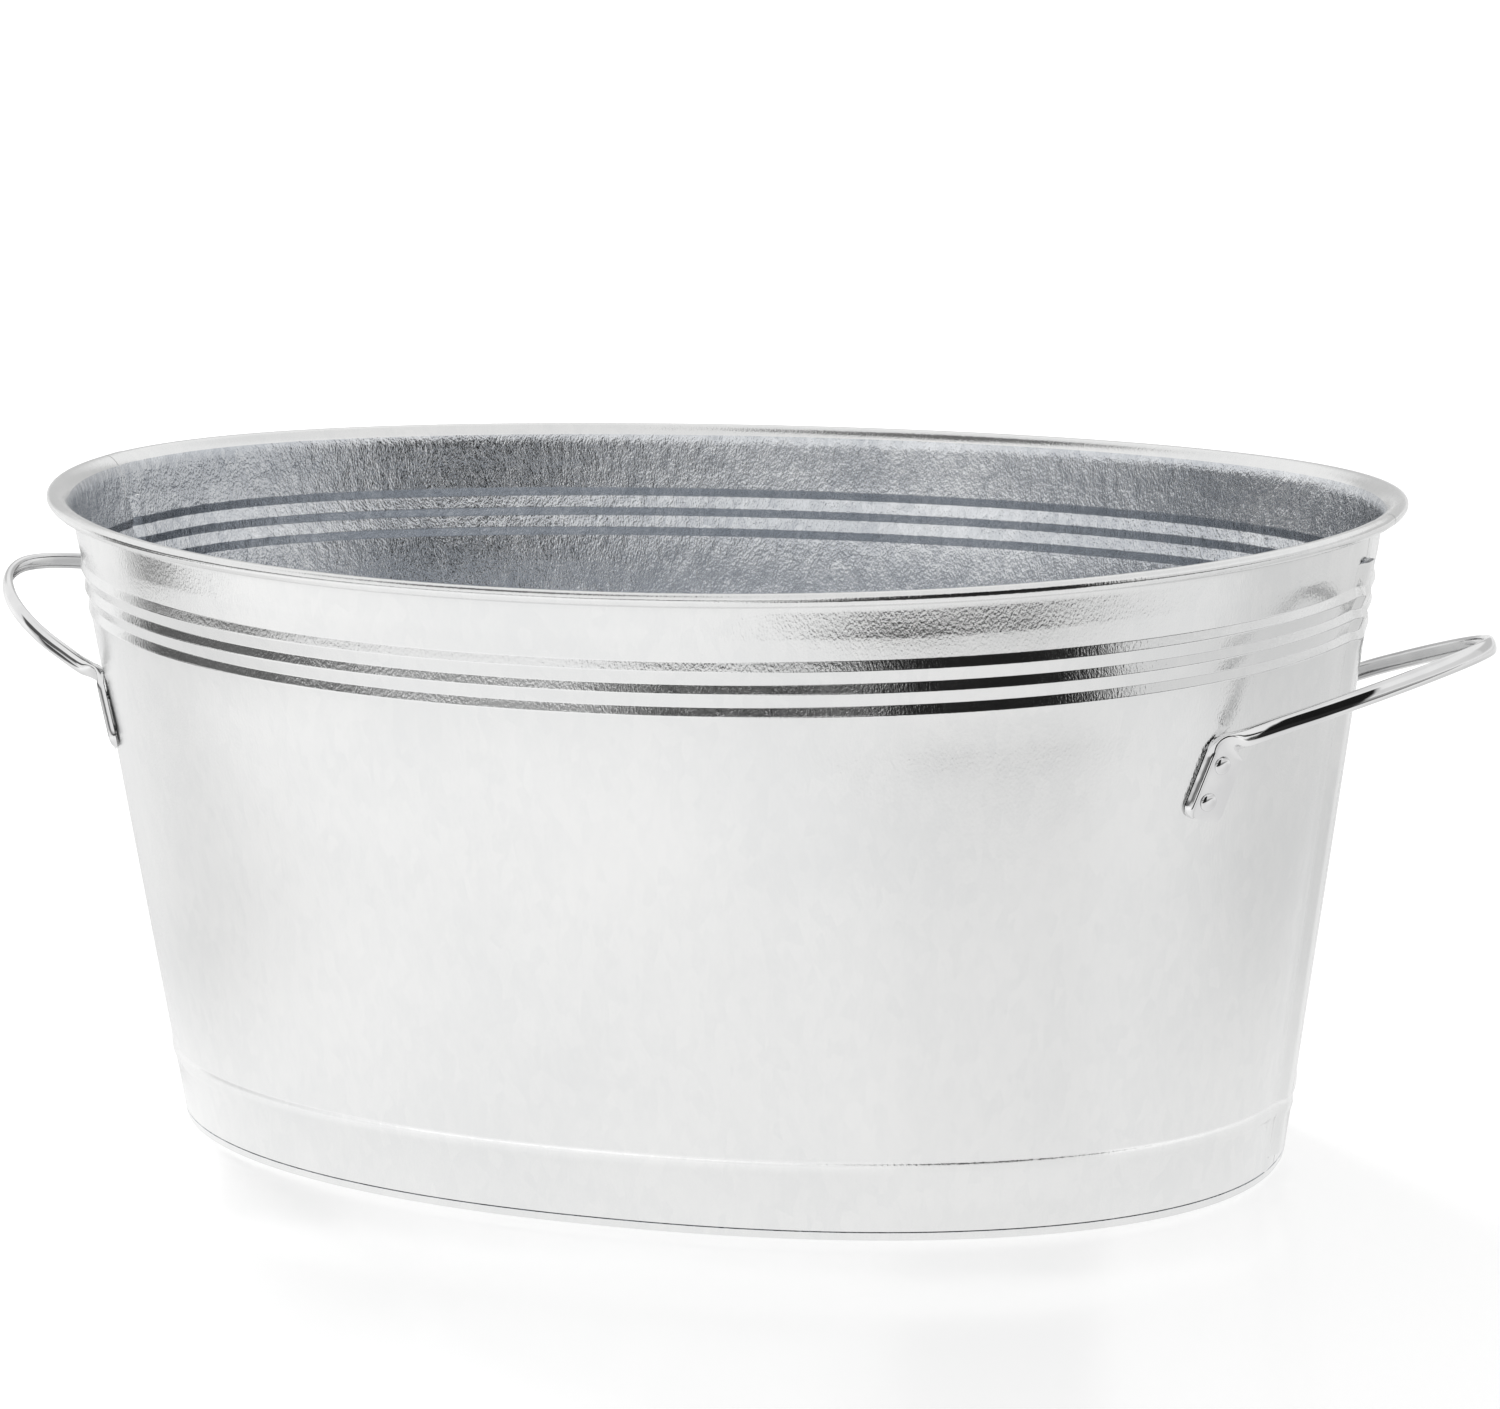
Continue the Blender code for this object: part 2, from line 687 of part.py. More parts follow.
def main():
    """Build the tub."""
    clear_objects()
    tub = make_collection("galvanized_beverage_tub")
    guides = make_collection("guides")
    galvanized = make_material(GALVANIZED)
    chromed = make_material(CHROMED)
    bodies = {
        "front": build_half_body("body_front", tub, galvanized, False),
        "back": build_half_body("body_back", tub, galvanized, True),
    }
    build_bottom(tub, galvanized)
    profile = rivet_mesh(chromed)
    right = (Ear("right", "front", RIGHT_FRONT_EAR_LEVEL), Ear("right", "back", RIGHT_BACK_EAR_LEVEL))
    left = (Ear("left", "back", LEFT_BACK_EAR_LEVEL), Ear("left", "front", LEFT_FRONT_EAR_LEVEL))
    loops = (
        (right, Loop(*right, RIGHT_LOOP_TILT, RIGHT_LOOP_REACH)),
        (left, Loop(*left, LEFT_LOOP_TILT, LEFT_LOOP_REACH)),
    )
    for ears, loop in loops:
        handle = build_handle("handle_" + ears[0].side, loop, *ears, tub, chromed)
        for ear in ears:
            cutter = build_hole_cutter(ear, guides)
            cut(handle, cutter)
            cut(bodies[ear.end], cutter)
            for place, point in zip(("upper", "lower"), ear.rivet_points()):
                build_rivet("rivet_%s_%s_%s" % (ear.side, ear.end, place), ear, point, profile, tub)


main()
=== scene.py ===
"""Galvanized beverage tub: the dressed pieces, their finishes and the studio round them."""

import logging
import math
from dataclasses import asdict, dataclass, field
from enum import Enum
from functools import cached_property
from typing import Any, Callable, Iterable, Sequence

import bmesh
import bpy
from mathutils import Matrix, Quaternion, Vector
from mathutils.bvhtree import BVHTree

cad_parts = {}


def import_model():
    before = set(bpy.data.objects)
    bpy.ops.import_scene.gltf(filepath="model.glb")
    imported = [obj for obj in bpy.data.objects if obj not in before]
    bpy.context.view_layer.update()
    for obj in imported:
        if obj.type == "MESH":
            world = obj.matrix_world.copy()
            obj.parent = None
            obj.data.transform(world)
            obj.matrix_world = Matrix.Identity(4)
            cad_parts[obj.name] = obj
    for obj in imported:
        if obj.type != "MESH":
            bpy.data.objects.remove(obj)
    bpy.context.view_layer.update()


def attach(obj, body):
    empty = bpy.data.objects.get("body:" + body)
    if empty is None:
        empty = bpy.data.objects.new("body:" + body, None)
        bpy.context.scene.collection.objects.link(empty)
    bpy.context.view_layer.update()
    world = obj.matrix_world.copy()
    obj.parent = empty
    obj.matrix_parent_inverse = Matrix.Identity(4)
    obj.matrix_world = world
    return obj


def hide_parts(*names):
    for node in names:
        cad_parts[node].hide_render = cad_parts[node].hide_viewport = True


LOG = logging.getLogger("tub")
BODY = "root"
PHOTO_WIDTH = 1500
PHOTO_HEIGHT = 1409
QUARTER_TURN = 90.0
HALF_TURN = 180.0
FULL_TURN = 360.0

Pair = tuple[float, float]
Triple = tuple[float, float, float]
Column = Triple
Row = Triple
Socket = bpy.types.NodeSocket
Material = bpy.types.Material
Mesh = bpy.types.Mesh
Object = bpy.types.Object


class Slot(Enum):
    """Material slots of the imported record."""

    GALVANIZED = "galvanized_steel"
    CHROMED = "chromed_steel"


class Side(Enum):
    """The two ends of the tub that carry a handle."""

    RIGHT = "right"
    LEFT = "left"


class End(Enum):
    """The two ears of one handle."""

    FRONT = "front"
    BACK = "back"


# Node graphs


def math_method(operation: str, swapped: bool = False) -> Callable[..., "Value"]:
    """Make a method of Value that adds one Math node.

    Args:
        operation: The node's operation.
        swapped: Whether the value itself is the right operand.

    Returns:
        The method.
    """

    def method(self: "Value", *others: "Value | float") -> "Value":
        """Result for the value and its other operand, if it has one."""
        return self.graph.math(operation, *((*others, self) if swapped else (self, *others)))

    return method


class Value:
    """A node socket that takes part in Python expressions."""

    __add__, __radd__ = math_method("ADD"), math_method("ADD", swapped=True)
    __sub__, __rsub__ = math_method("SUBTRACT"), math_method("SUBTRACT", swapped=True)
    __mul__, __rmul__ = math_method("MULTIPLY"), math_method("MULTIPLY", swapped=True)
    __truediv__, __rtruediv__ = math_method("DIVIDE"), math_method("DIVIDE", swapped=True)
    __pow__ = math_method("POWER")
    size, sign, root = math_method("ABSOLUTE"), math_method("SIGN"), math_method("SQRT")
    cos, sin = math_method("COSINE"), math_method("SINE")

    def __init__(self, graph: "Graph", socket: Socket) -> None:
        """Wrap an output socket of a graph."""
        self.graph = graph
        self.socket = socket

    def turn_from(self, other: "Value") -> "Value":
        """Angle in degrees whose sine goes with this value and cosine with the other."""
        return self.graph.math("ARCTAN2", self, other) * (HALF_TURN / math.pi)

    def signed_power(self, exponent: "Value | float") -> "Value":
        """Power that keeps the value's sign."""
        return self.sign() * self.size() ** exponent

    def between(self, low: float, high: float, soft: float) -> "Value":
        """Mask that is one between two values and fades over twice soft at both."""
        return self.span(low - soft, low + soft) * (1.0 - self.span(high - soft, high + soft))

    def span(self, low: float, high: float) -> "Value":
        """Share from zero at low to one at high, with soft ends."""
        inputs = {"Value": self, "From Min": low, "From Max": high}
        return self.graph.value("ShaderNodeMapRange", inputs, interpolation_type="SMOOTHSTEP")


class Graph:
    """A node tree that is written as calls and expressions."""

    def __init__(self, tree: bpy.types.NodeTree) -> None:
        """Wrap a shader or geometry node tree."""
        self.tree = tree

    @classmethod
    def fresh(cls, block: Material | bpy.types.World) -> "Graph":
        """Empty the shader tree of a new material or world.

        Args:
            block: The material or world.

        Returns:
            Its graph.
        """
        block.use_nodes = True
        block.node_tree.nodes.clear()
        return cls(block.node_tree)

    def node(self, kind: str, inputs: dict[str | int, Any] | None = None, **settings: Any) -> bpy.types.Node:
        """Add one node.

        Args:
            kind: The node's type name.
            inputs: Values, sockets or Value objects by socket name or number.
            settings: Attributes of the node, set before its sockets.

        Returns:
            The new node.
        """
        node = self.tree.nodes.new(kind)
        for name, setting in settings.items():
            setattr(node, name, setting)
        for name, given in (inputs or {}).items():
            self.feed(node.inputs[name], given)
        return node

    def feed(self, socket: Socket, given: Any) -> None:
        """Link a socket or set its constant.

        Args:
            socket: The input socket.
            given: A Value, a socket or a constant.
        """
        given = given.socket if isinstance(given, Value) else given
        if isinstance(given, Socket):
            self.tree.links.new(given, socket)
        else:
            socket.default_value = given

    def socket(
        self, kind: str, inputs: dict[str | int, Any] | None = None, output: str | int = 0, **settings: Any
    ) -> Socket:
        """Add one node and take one of its outputs, by name or number."""
        return self.node(kind, inputs, **settings).outputs[output]

    def value(self, kind: str, inputs: dict[str | int, Any], **settings: Any) -> Value:
        """Add one node and take its first output as a Value."""
        return Value(self, self.socket(kind, inputs, **settings))

    def math(self, operation: str, *given: Value | float) -> Value:
        """Add one Math node with its operands."""
        return self.value("ShaderNodeMath", dict(enumerate(given)), operation=operation)

    def noise(self, place: Socket, scale: float, detail: float) -> Value:
        """Noise from zero to one, of a fineness in one over metres and a number of finer layers."""
        return self.value("ShaderNodeTexNoise", {"Vector": place, "Scale": scale, "Detail": detail})

    def mix(self, share: Value, start: Triple, end: Triple) -> Socket:
        """Colour that goes from start to end with a share."""
        inputs = {"Factor": share, 6: (*start, 1.0), 7: (*end, 1.0)}
        return self.socket("ShaderNodeMix", inputs, 2, data_type="RGBA")

    def bump(self, height: Value) -> Socket:
        """Normal of a surface that rises by a height in metres."""
        return self.socket("ShaderNodeBump", {"Strength": 1.0, "Distance": 1.0, "Height": height})

    def axes(self, vector: Socket) -> tuple[Value, ...]:
        """Numbers along the three axes of a vector."""
        parts = self.node("ShaderNodeSeparateXYZ", {"Vector": vector}).outputs
        return tuple(Value(self, part) for part in parts)

    def vector(self, *numbers: Value | float) -> Socket:
        """Vector with a number along each axis."""
        return self.socket("ShaderNodeCombineXYZ", dict(enumerate(numbers)))

    def attribute(self, name: str, kind: str = "FLOAT") -> Socket:
        """What each point of a mesh carries under a name."""
        return self.socket("GeometryNodeInputNamedAttribute", {"Name": name}, "Attribute", data_type=kind)

    def rays(self) -> tuple[Value, Value]:
        """Masks of the rays that come from the camera, and of those that a surface mirrors."""
        rays = self.node("ShaderNodeLightPath").outputs
        return Value(self, rays["Is Camera Ray"]), Value(self, rays["Is Glossy Ray"])


# Finishes


@dataclass(frozen=True)
class Finish:
    """What every finish shares: its name and how its material is put together."""

    name: str

    def inputs(self, graph: Graph) -> dict[str, Any]:
        """Lay out the finish's own nodes, and give what feeds the shader by the socket's name."""
        raise NotImplementedError

    def material(self) -> Material:
        """Build the material.

        Returns:
            The material, with one Principled shader.
        """
        material = bpy.data.materials.new(self.name)
        graph = Graph.fresh(material)
        surface = graph.socket("ShaderNodeBsdfPrincipled", self.inputs(graph), "BSDF")
        graph.node("ShaderNodeOutputMaterial", {"Surface": surface})
        return material


@dataclass(frozen=True)
class GalvanizedFinish(Finish):
    """Hot dip zinc on rolled steel: bright, faintly clouded, with a fine upright frost in it.

    Each noise has its fineness, in one over metres, and its number of finer layers.
    """

    bright: Triple = (0.865, 0.865, 0.86)
    dull: Triple = (0.80, 0.805, 0.805)
    roughness: float = 0.13
    roughness_spread: float = 0.07
    cloud: Pair = (11.0, 5.0)
    cloud_share: float = 0.56
    frost: Pair = (1500.0, 2.0)
    frost_share: float = 0.18
    frost_stretch: float = 0.50
    frost_rise: float = 0.00007
    crystal_scale: float = 260.0
    crystal_share: float = 0.10
    soft_detail: float = 3.0
    soft_share: float = 0.16
    crystal_rise: float = 0.00003
    wave: Pair = (24.0, 1.0)
    wave_rise: float = 0.0007
    tone_span: Pair = (0.30, 0.70)

    def inputs(self, graph: Graph) -> dict[str, Any]:
        """Lay out the zinc's nodes.

        Args:
            graph: The material's graph.

        Returns:
            What feeds the shader, by the socket's name.
        """
        place = graph.socket("ShaderNodeTexCoord", output="Object")
        stretch = (1.0, 1.0, self.frost_stretch)
        upright = graph.socket("ShaderNodeMapping", {"Vector": place, "Scale": stretch})
        cloud = graph.noise(place, *self.cloud)
        frost = graph.noise(upright, *self.frost)
        wave = graph.noise(place, *self.wave)
        soft = graph.noise(upright, self.crystal_scale, self.soft_detail)
        voronoi = {"Vector": upright, "Scale": self.crystal_scale}
        crystals = graph.socket("ShaderNodeTexVoronoi", voronoi, "Color", feature="F1")
        grade = graph.value("ShaderNodeSeparateColor", {"Color": crystals})
        clouds = cloud * self.cloud_share + grade * self.crystal_share
        tone = (clouds + soft * self.soft_share + frost * self.frost_share).span(*self.tone_span)
        rough = self.roughness + (soft - 0.5) * self.roughness_spread + (cloud - 0.5) * self.roughness_spread
        height = frost * self.frost_rise + soft * self.crystal_rise + wave * self.wave_rise
        return {
            "Base Color": graph.mix(tone, self.dull, self.bright),
            "Metallic": 1.0,
            "Roughness": rough,
            "Normal": graph.bump(height),
        }


@dataclass(frozen=True)
class ChromedFinish(Finish):
    """Bright chrome plate over pressed steel, with its noises given as the zinc's are."""

    bright: Triple = (0.83, 0.83, 0.83)
    dull: Triple = (0.77, 0.77, 0.775)
    roughness: float = 0.025
    haze: Pair = (70.0, 4.0)
    haze_roughness: float = 0.035
    haze_span: Pair = (0.35, 0.65)
    ripple: Pair = (180.0, 1.0)
    ripple_rise: float = 0.00003

    def inputs(self, graph: Graph) -> dict[str, Any]:
        """Lay out the chrome's nodes.

        Args:
            graph: The material's graph.

        Returns:
            What feeds the shader, by the socket's name.
        """
        place = graph.socket("ShaderNodeTexCoord", output="Object")
        haze = graph.noise(place, *self.haze)
        ripple = graph.noise(place, *self.ripple)
        return {
            "Base Color": graph.mix(haze.span(*self.haze_span), self.dull, self.bright),
            "Metallic": 1.0,
            "Roughness": self.roughness + haze * self.haze_roughness,
            "Normal": graph.bump(ripple * self.ripple_rise),
        }


@dataclass(frozen=True)
class FloorFinish(Finish):
    """Plain pale board that the tub stands on.

    The camera sees it lifted towards white. For the rays that the tub's metal mirrors it glows with a
    painted reflection: painted shade greys it to both sides, behind and far off, and a painted dark
    patch stands past a slanted line at its front right and at its left. Each painted shade has
    its strength, and the spans along and across the board, in metres, over which it comes in.
    """

    colour: Triple = (0.92, 0.92, 0.92)
    mirrored_share: float = 0.06
    roughness: float = 0.16
    gloss: float = 0.22
    lift: float = 0.44
    # Glow of the painted reflection that the metal sees of the board, and the part of it left to the lamps.
    mirrored: float = 0.985
    lit: float = 0.05
    # Painted shade in that reflection: strength and spans of each darker part.
    right_painted_shade: float = 0.125
    right_span: Pair = (-0.15, 0.50)
    back_painted_shade: float = 0.20
    back_spans: tuple[Pair, Pair] = ((0.15, 0.50), (-0.20, 0.10))
    left_painted_shade: float = 0.19
    left_spans: tuple[Pair, Pair] = ((0.18, 0.38), (-0.34, -0.08))
    far_painted_shade: float = 0.12
    far_spans: tuple[Pair, Pair] = ((0.10, 0.35), (-0.22, -0.02))
    rear_painted_shade: float = 0.24
    rear_band: Triple = (-0.35, 0.25, 0.10)
    rear_span: Pair = (0.18, 0.45)
    distance_painted_shade: float = 0.35
    distance_span: Pair = (0.9, 3.0)
    # Tone of the painted dark patches that only the metal sees, and the lines that bound them.
    beyond: float = 0.02
    edge_start: float = -0.632
    edge_slope: float = 0.41
    edge_soft: float = 0.035
    corner: Pair = (0.05, -0.17)
    corner_turn: float = 10.0
    corner_soft: float = 9.0
    left_end: float = 0.80
    left_soft: float = 0.09
    left_sides: Pair = (-0.40, 0.02)

    def inputs(self, graph: Graph) -> dict[str, Any]:
        """Lay out the board's nodes.

        Args:
            graph: The material's graph.

        Returns:
            What feeds the shader, by the socket's name.
        """
        camera, mirror = graph.rays()
        x, y, _ = graph.axes(graph.socket("ShaderNodeTexCoord", output="Object"))
        leftward = x * -1.0
        # Painted dark patches, seen only in the metal: past a slanted line at the front right, and at the
        # left.
        reach = x * self.edge_slope + self.edge_start - y
        turn = (x - self.corner[0]).turn_from((y - self.corner[1]) * -1.0)
        right = reach.span(-self.edge_soft, self.edge_soft) * turn.span(
            self.corner_turn - self.corner_soft, self.corner_turn + self.corner_soft
        )
        left = leftward.span(self.left_end - self.left_soft, self.left_end + self.left_soft)
        left = left * y.between(*self.left_sides, self.left_soft)
        open_share = (1.0 - right) * (1.0 - left)
        # Painted reflection: the glow that mirrored rays see, darkened by painted shade in each span.
        tone: Value | float = self.mirrored
        for painted_shade, mask in (
            (self.right_painted_shade, x.span(*self.right_span)),
            (self.back_painted_shade, x.span(*self.back_spans[0]) * y.span(*self.back_spans[1])),
            (self.left_painted_shade, leftward.span(*self.left_spans[0]) * y.span(*self.left_spans[1])),
            (self.far_painted_shade, x.span(*self.far_spans[0]) * reach.span(*self.far_spans[1])),
            (self.rear_painted_shade, x.between(*self.rear_band) * y.span(*self.rear_span)),
            (self.distance_painted_shade, (x * x + y * y).root().span(*self.distance_span)),
        ):
            tone = tone * (1.0 - mask * painted_shade)
        # Inside the painted dark patches the glow drops to their painted dark tone.
        tone = self.beyond + open_share * (tone - self.beyond - self.lit)
        # Camera rays see the board lifted to white; mirrored rays see the painted reflection glow.
        grey = camera * self.lift + mirror * tone
        glow = {"Red": grey, "Green": grey, "Blue": grey}
        share = 1.0 - mirror * (1.0 - open_share * self.mirrored_share)
        return {
            "Base Color": graph.mix(share, (0.0, 0.0, 0.0), self.colour),
            "Roughness": self.roughness,
            "Specular IOR Level": self.gloss,
            "Emission Color": graph.socket("ShaderNodeCombineColor", glow),
            "Emission Strength": 1.0,
        }


# Shape of the oval wall


def blend(start: float, end: float, share: float) -> float:
    """Value that lies a share of the way from start to end."""
    return start + (end - start) * share


def ease(low: float, high: float, value: float) -> float:
    """Share from zero at low to one at high, with soft ends."""
    share = min(1.0, max(0.0, (value - low) / (high - low)))
    return share * share * (3.0 - 2.0 * share)


def signed_power(value: float, exponent: float) -> float:
    """Power of a value that keeps its sign."""
    return math.copysign(abs(value) ** exponent, value)


def even_steps(start: float, end: float, count: int) -> list[float]:
    """Values from start to end in a number of equal steps, both ends included."""
    return [blend(start, end, index / count) for index in range(count + 1)]


def arc(start: float, end: float, count: int) -> list[Pair]:
    """Cosines and sines of the turns in degrees from start to end in equal steps."""
    angles = (math.radians(turn) for turn in even_steps(start, end, count))
    return [(math.cos(angle), math.sin(angle)) for angle in angles]


def rows_at(saddle: float, pairs: Iterable[Pair]) -> list[Row]:
    """Rows of offsets and levels that take one share of the rim's rise."""
    return [(offset, level, saddle) for offset, level in pairs]


def cubic_weights(share: float) -> tuple[float, float, float, float]:
    """Weights of a soft curve's start, its slope there, its end and its slope there.

    Args:
        share: Share of the way from the start to the end.

    Returns:
        The four weights.
    """
    square = share * share
    cube = square * share
    return 2 * cube - 3 * square + 1, cube - 2 * square + share, 3 * square - 2 * cube, cube - square


def smooth_rows(knots: Sequence[Pair], spacing: float) -> list[Pair]:
    """Soft curve through knots that never swings past them.

    Args:
        knots: Offset and level pairs, rising in level.
        spacing: Level between the rows of the curve.

    Returns:
        Dense offset and level pairs from the first knot to the last.
    """
    slopes = [(after[0] - before[0]) / (after[1] - before[1]) for before, after in zip(knots, knots[1:])]
    bends = [slopes[0]]
    for before, after in zip(slopes, slopes[1:]):
        bends.append(0.0 if before * after <= 0 else 2 * before * after / (before + after))
    bends.append(slopes[-1])
    rows = [knots[0]]
    for index, (start, end) in enumerate(zip(knots, knots[1:])):
        height = end[1] - start[1]
        for share in even_steps(0.0, 1.0, max(1, round(height / spacing)))[1:]:
            at_start, slope_in, at_end, slope_out = cubic_weights(share)
            offset = at_start * start[0] + slope_in * height * bends[index] + at_end * end[0]
            rows.append((offset + slope_out * height * bends[index + 1], start[1] + height * share))
    return rows


def rounded_rows(knots: Sequence[Pair], softness: float, steps: int) -> list[Pair]:
    """Straight flanks between knots, with each inner knot rounded off.

    Args:
        knots: Offset and level pairs, rising in level.
        softness: Length of flank that a corner takes on each side.
        steps: Spans of each corner.

    Returns:
        Offset and level pairs from the first knot to the last.
    """
    rows = [knots[0]]
    flat = [Vector((*knot, 0.0)) for knot in knots]
    for before, corner, after in zip(flat, flat[1:], flat[2:]):
        start, end = (corner + (knot - corner).normalized() * softness for knot in (before, after))
        for share in even_steps(0.0, 1.0, steps):
            point = start.lerp(corner, share).lerp(corner.lerp(end, share), share)
            rows.append((point.x, point.y))
    return [*rows, knots[-1]]


def through(pairs: Sequence[Pair], per_span: int) -> list[Pair]:
    """Curve that runs smoothly through flat points.

    Args:
        pairs: Points in order.
        per_span: New points for each span.

    Returns:
        Dense points from the first to the last.
    """
    points = [Vector((*pair, 0.0)) for pair in pairs]
    ends = [points[0] * 2 - points[1], *points, points[-1] * 2 - points[-2]]
    dense = [points[0]]
    for before, start, end, after in zip(ends, ends[1:], ends[2:], ends[3:]):
        for share in even_steps(0.0, 1.0, per_span)[1:]:
            at_start, slope_in, at_end, slope_out = cubic_weights(share)
            lean = (end - before) * 0.5 * slope_in
            dense.append(start * at_start + lean + end * at_end + (after - start) * 0.5 * slope_out)
    return [(point.x, point.y) for point in dense]


@dataclass(frozen=True)
class OvalWall:
    """The flared oval that every sheet of the tub follows."""

    foot_level: float = 0.0030
    foot_half_length: float = 0.2132
    foot_half_width: float = 0.1305
    foot_squareness: float = 2.167
    shoulder_level: float = 0.2320
    shoulder_half_length: float = 0.2455
    shoulder_half_width: float = 0.1704
    shoulder_squareness: float = 2.04
    saddle_rise: float = 0.0032
    saddle_flat: float = 0.00025

    def _rise(self, angle: float) -> float:
        """Rise of the rim at an angle of the oval."""
        return self.saddle_rise * math.cos(2 * angle) + self.saddle_flat * math.cos(4 * angle)

    def below_rim(self, point: Vector) -> float:
        """Level of a place near the rim, without the rim's own rise there."""
        angle = math.atan2(point.y / self.shoulder_half_width, point.x / self.shoulder_half_length)
        return point.z - self._rise(angle)

    def place(self, column: Column, row: Row) -> Vector:
        """Point of a sheet.

        Args:
            column: Turn in degrees, slide along the wall and lift off it.
            row: Offset, level and share of the rim's rise at the ends.

        Returns:
            The point in the tub's frame.
        """
        turn, slide, lift = column
        offset, level, saddle = row
        share = (level - self.foot_level) / (self.shoulder_level - self.foot_level)
        length = blend(self.foot_half_length, self.shoulder_half_length, share)
        width = blend(self.foot_half_width, self.shoulder_half_width, share)
        square = blend(self.foot_squareness, self.shoulder_squareness, share)
        angle = math.radians(turn)
        across = signed_power(math.cos(angle), 2 / square)
        along = signed_power(math.sin(angle), 2 / square)
        point = Vector((length * across, width * along, level + saddle * self._rise(angle)))
        normal = Vector(
            (signed_power(across, square - 1) / length, signed_power(along, square - 1) / width, 0.0)
        ).normalized()
        return point + Vector((-normal.y, normal.x, 0.0)) * slide + normal * (lift + offset)


@dataclass
class Blank:
    """A flat cut sheet before it is formed: columns round the oval and rows up the wall."""

    points: dict[tuple[float, ...], int] = field(default_factory=dict)
    faces: list[tuple[int, ...]] = field(default_factory=list)

    def point(self, column: Column, row: Row) -> int:
        """Number of the point at a column and a row, the same each time it is asked for."""
        return self.points.setdefault(column + row, len(self.points))

    def patch(self, columns: Sequence[Column], rows: Sequence[Row]) -> None:
        """Fill the space between columns and rows with quads.

        Args:
            columns: Columns in order round the oval.
            rows: Rows in order up the wall.
        """
        for left, right in zip(columns, columns[1:]):
            for low, high in zip(rows, rows[1:]):
                corners = ((left, low), (right, low), (right, high), (left, high))
                self.faces.append(tuple(self.point(*corner) for corner in corners))

    def cap(self, columns: Sequence[Column], row: Row) -> None:
        """Close a ring of columns with one flat face."""
        self.faces.append(tuple(self.point(column, row) for column in columns))


# Meshes


def bake_mesh(item: Object, name: str) -> Mesh:
    """Evaluate an object and copy its mesh.

    Args:
        item: Object with live modifiers.
        name: Name of the new mesh.

    Returns:
        A plain mesh of what the modifiers made.
    """
    bpy.context.view_layer.update()
    graph = bpy.context.evaluated_depsgraph_get()
    mesh = bpy.data.meshes.new_from_object(item.evaluated_get(graph), depsgraph=graph)
    mesh.name = name
    return mesh


def add_object(name: str, data: bpy.types.ID) -> Object:
    """Link a mesh, a lamp or a camera to the scene as an object at the origin.

    Args:
        name: Name of the object.
        data: What it shows.

    Returns:
        The object.
    """
    item = bpy.data.objects.new(name, data)
    bpy.context.scene.collection.objects.link(item)
    return item


def face_outward(data: Mesh) -> None:
    """Turn the faces of a mesh the same way, which is outwards on a closed one.

    Args:
        data: The mesh.
    """
    mesh = bmesh.new()
    mesh.from_mesh(data)
    bmesh.ops.recalc_face_normals(mesh, faces=mesh.faces)
    mesh.to_mesh(data)
    mesh.free()


def crisp_folds(data: Mesh, crisp: float) -> None:
    """Shade a mesh smooth, but for the edges that turn by more degrees than crisp."""
    data.shade_smooth()
    data.set_sharp_from_angle(angle=math.radians(crisp))


def thicken(item: Object, thickness: float, crisp: float) -> None:
    """Give an open sheet its thickness and keep its folds crisp.

    Args:
        item: The open sheet.
        thickness: Thickness, half to each side.
        crisp: Edges that turn by more degrees than this stay sharp.
    """
    face_outward(item.data)
    solid = item.modifiers.new("Sheet", "SOLIDIFY")
    solid.thickness = thickness
    solid.offset = 0.0
    solid.use_even_offset = True
    solid.use_quality_normals = True
    item.data = bake_mesh(item, item.name)
    item.modifiers.clear()
    face_outward(item.data)
    crisp_folds(item.data, crisp)


def paint_where(item: Object, finish: Material, chosen: Callable[[Vector, Vector], bool]) -> None:
    """Give some faces of a piece their own finish.

    Args:
        item: A thickened sheet.
        finish: The finish of the chosen faces.
        chosen: Says from a face's centre and normal whether it is one of them.
    """
    item.data.materials.append(finish)
    index = len(item.data.materials) - 1
    for face in item.data.polygons:
        if chosen(face.center, face.normal):
            face.material_index = index


def fix_to_frame(item: Object, nodes: Iterable[str]) -> None:
    """Fix a finished piece to the frame.

    Args:
        item: The piece.
        nodes: CAD nodes that it stands for.
    """
    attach(item, BODY)
    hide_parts(*nodes)
    LOG.info("%s: %d faces", item.name, len(item.data.polygons))


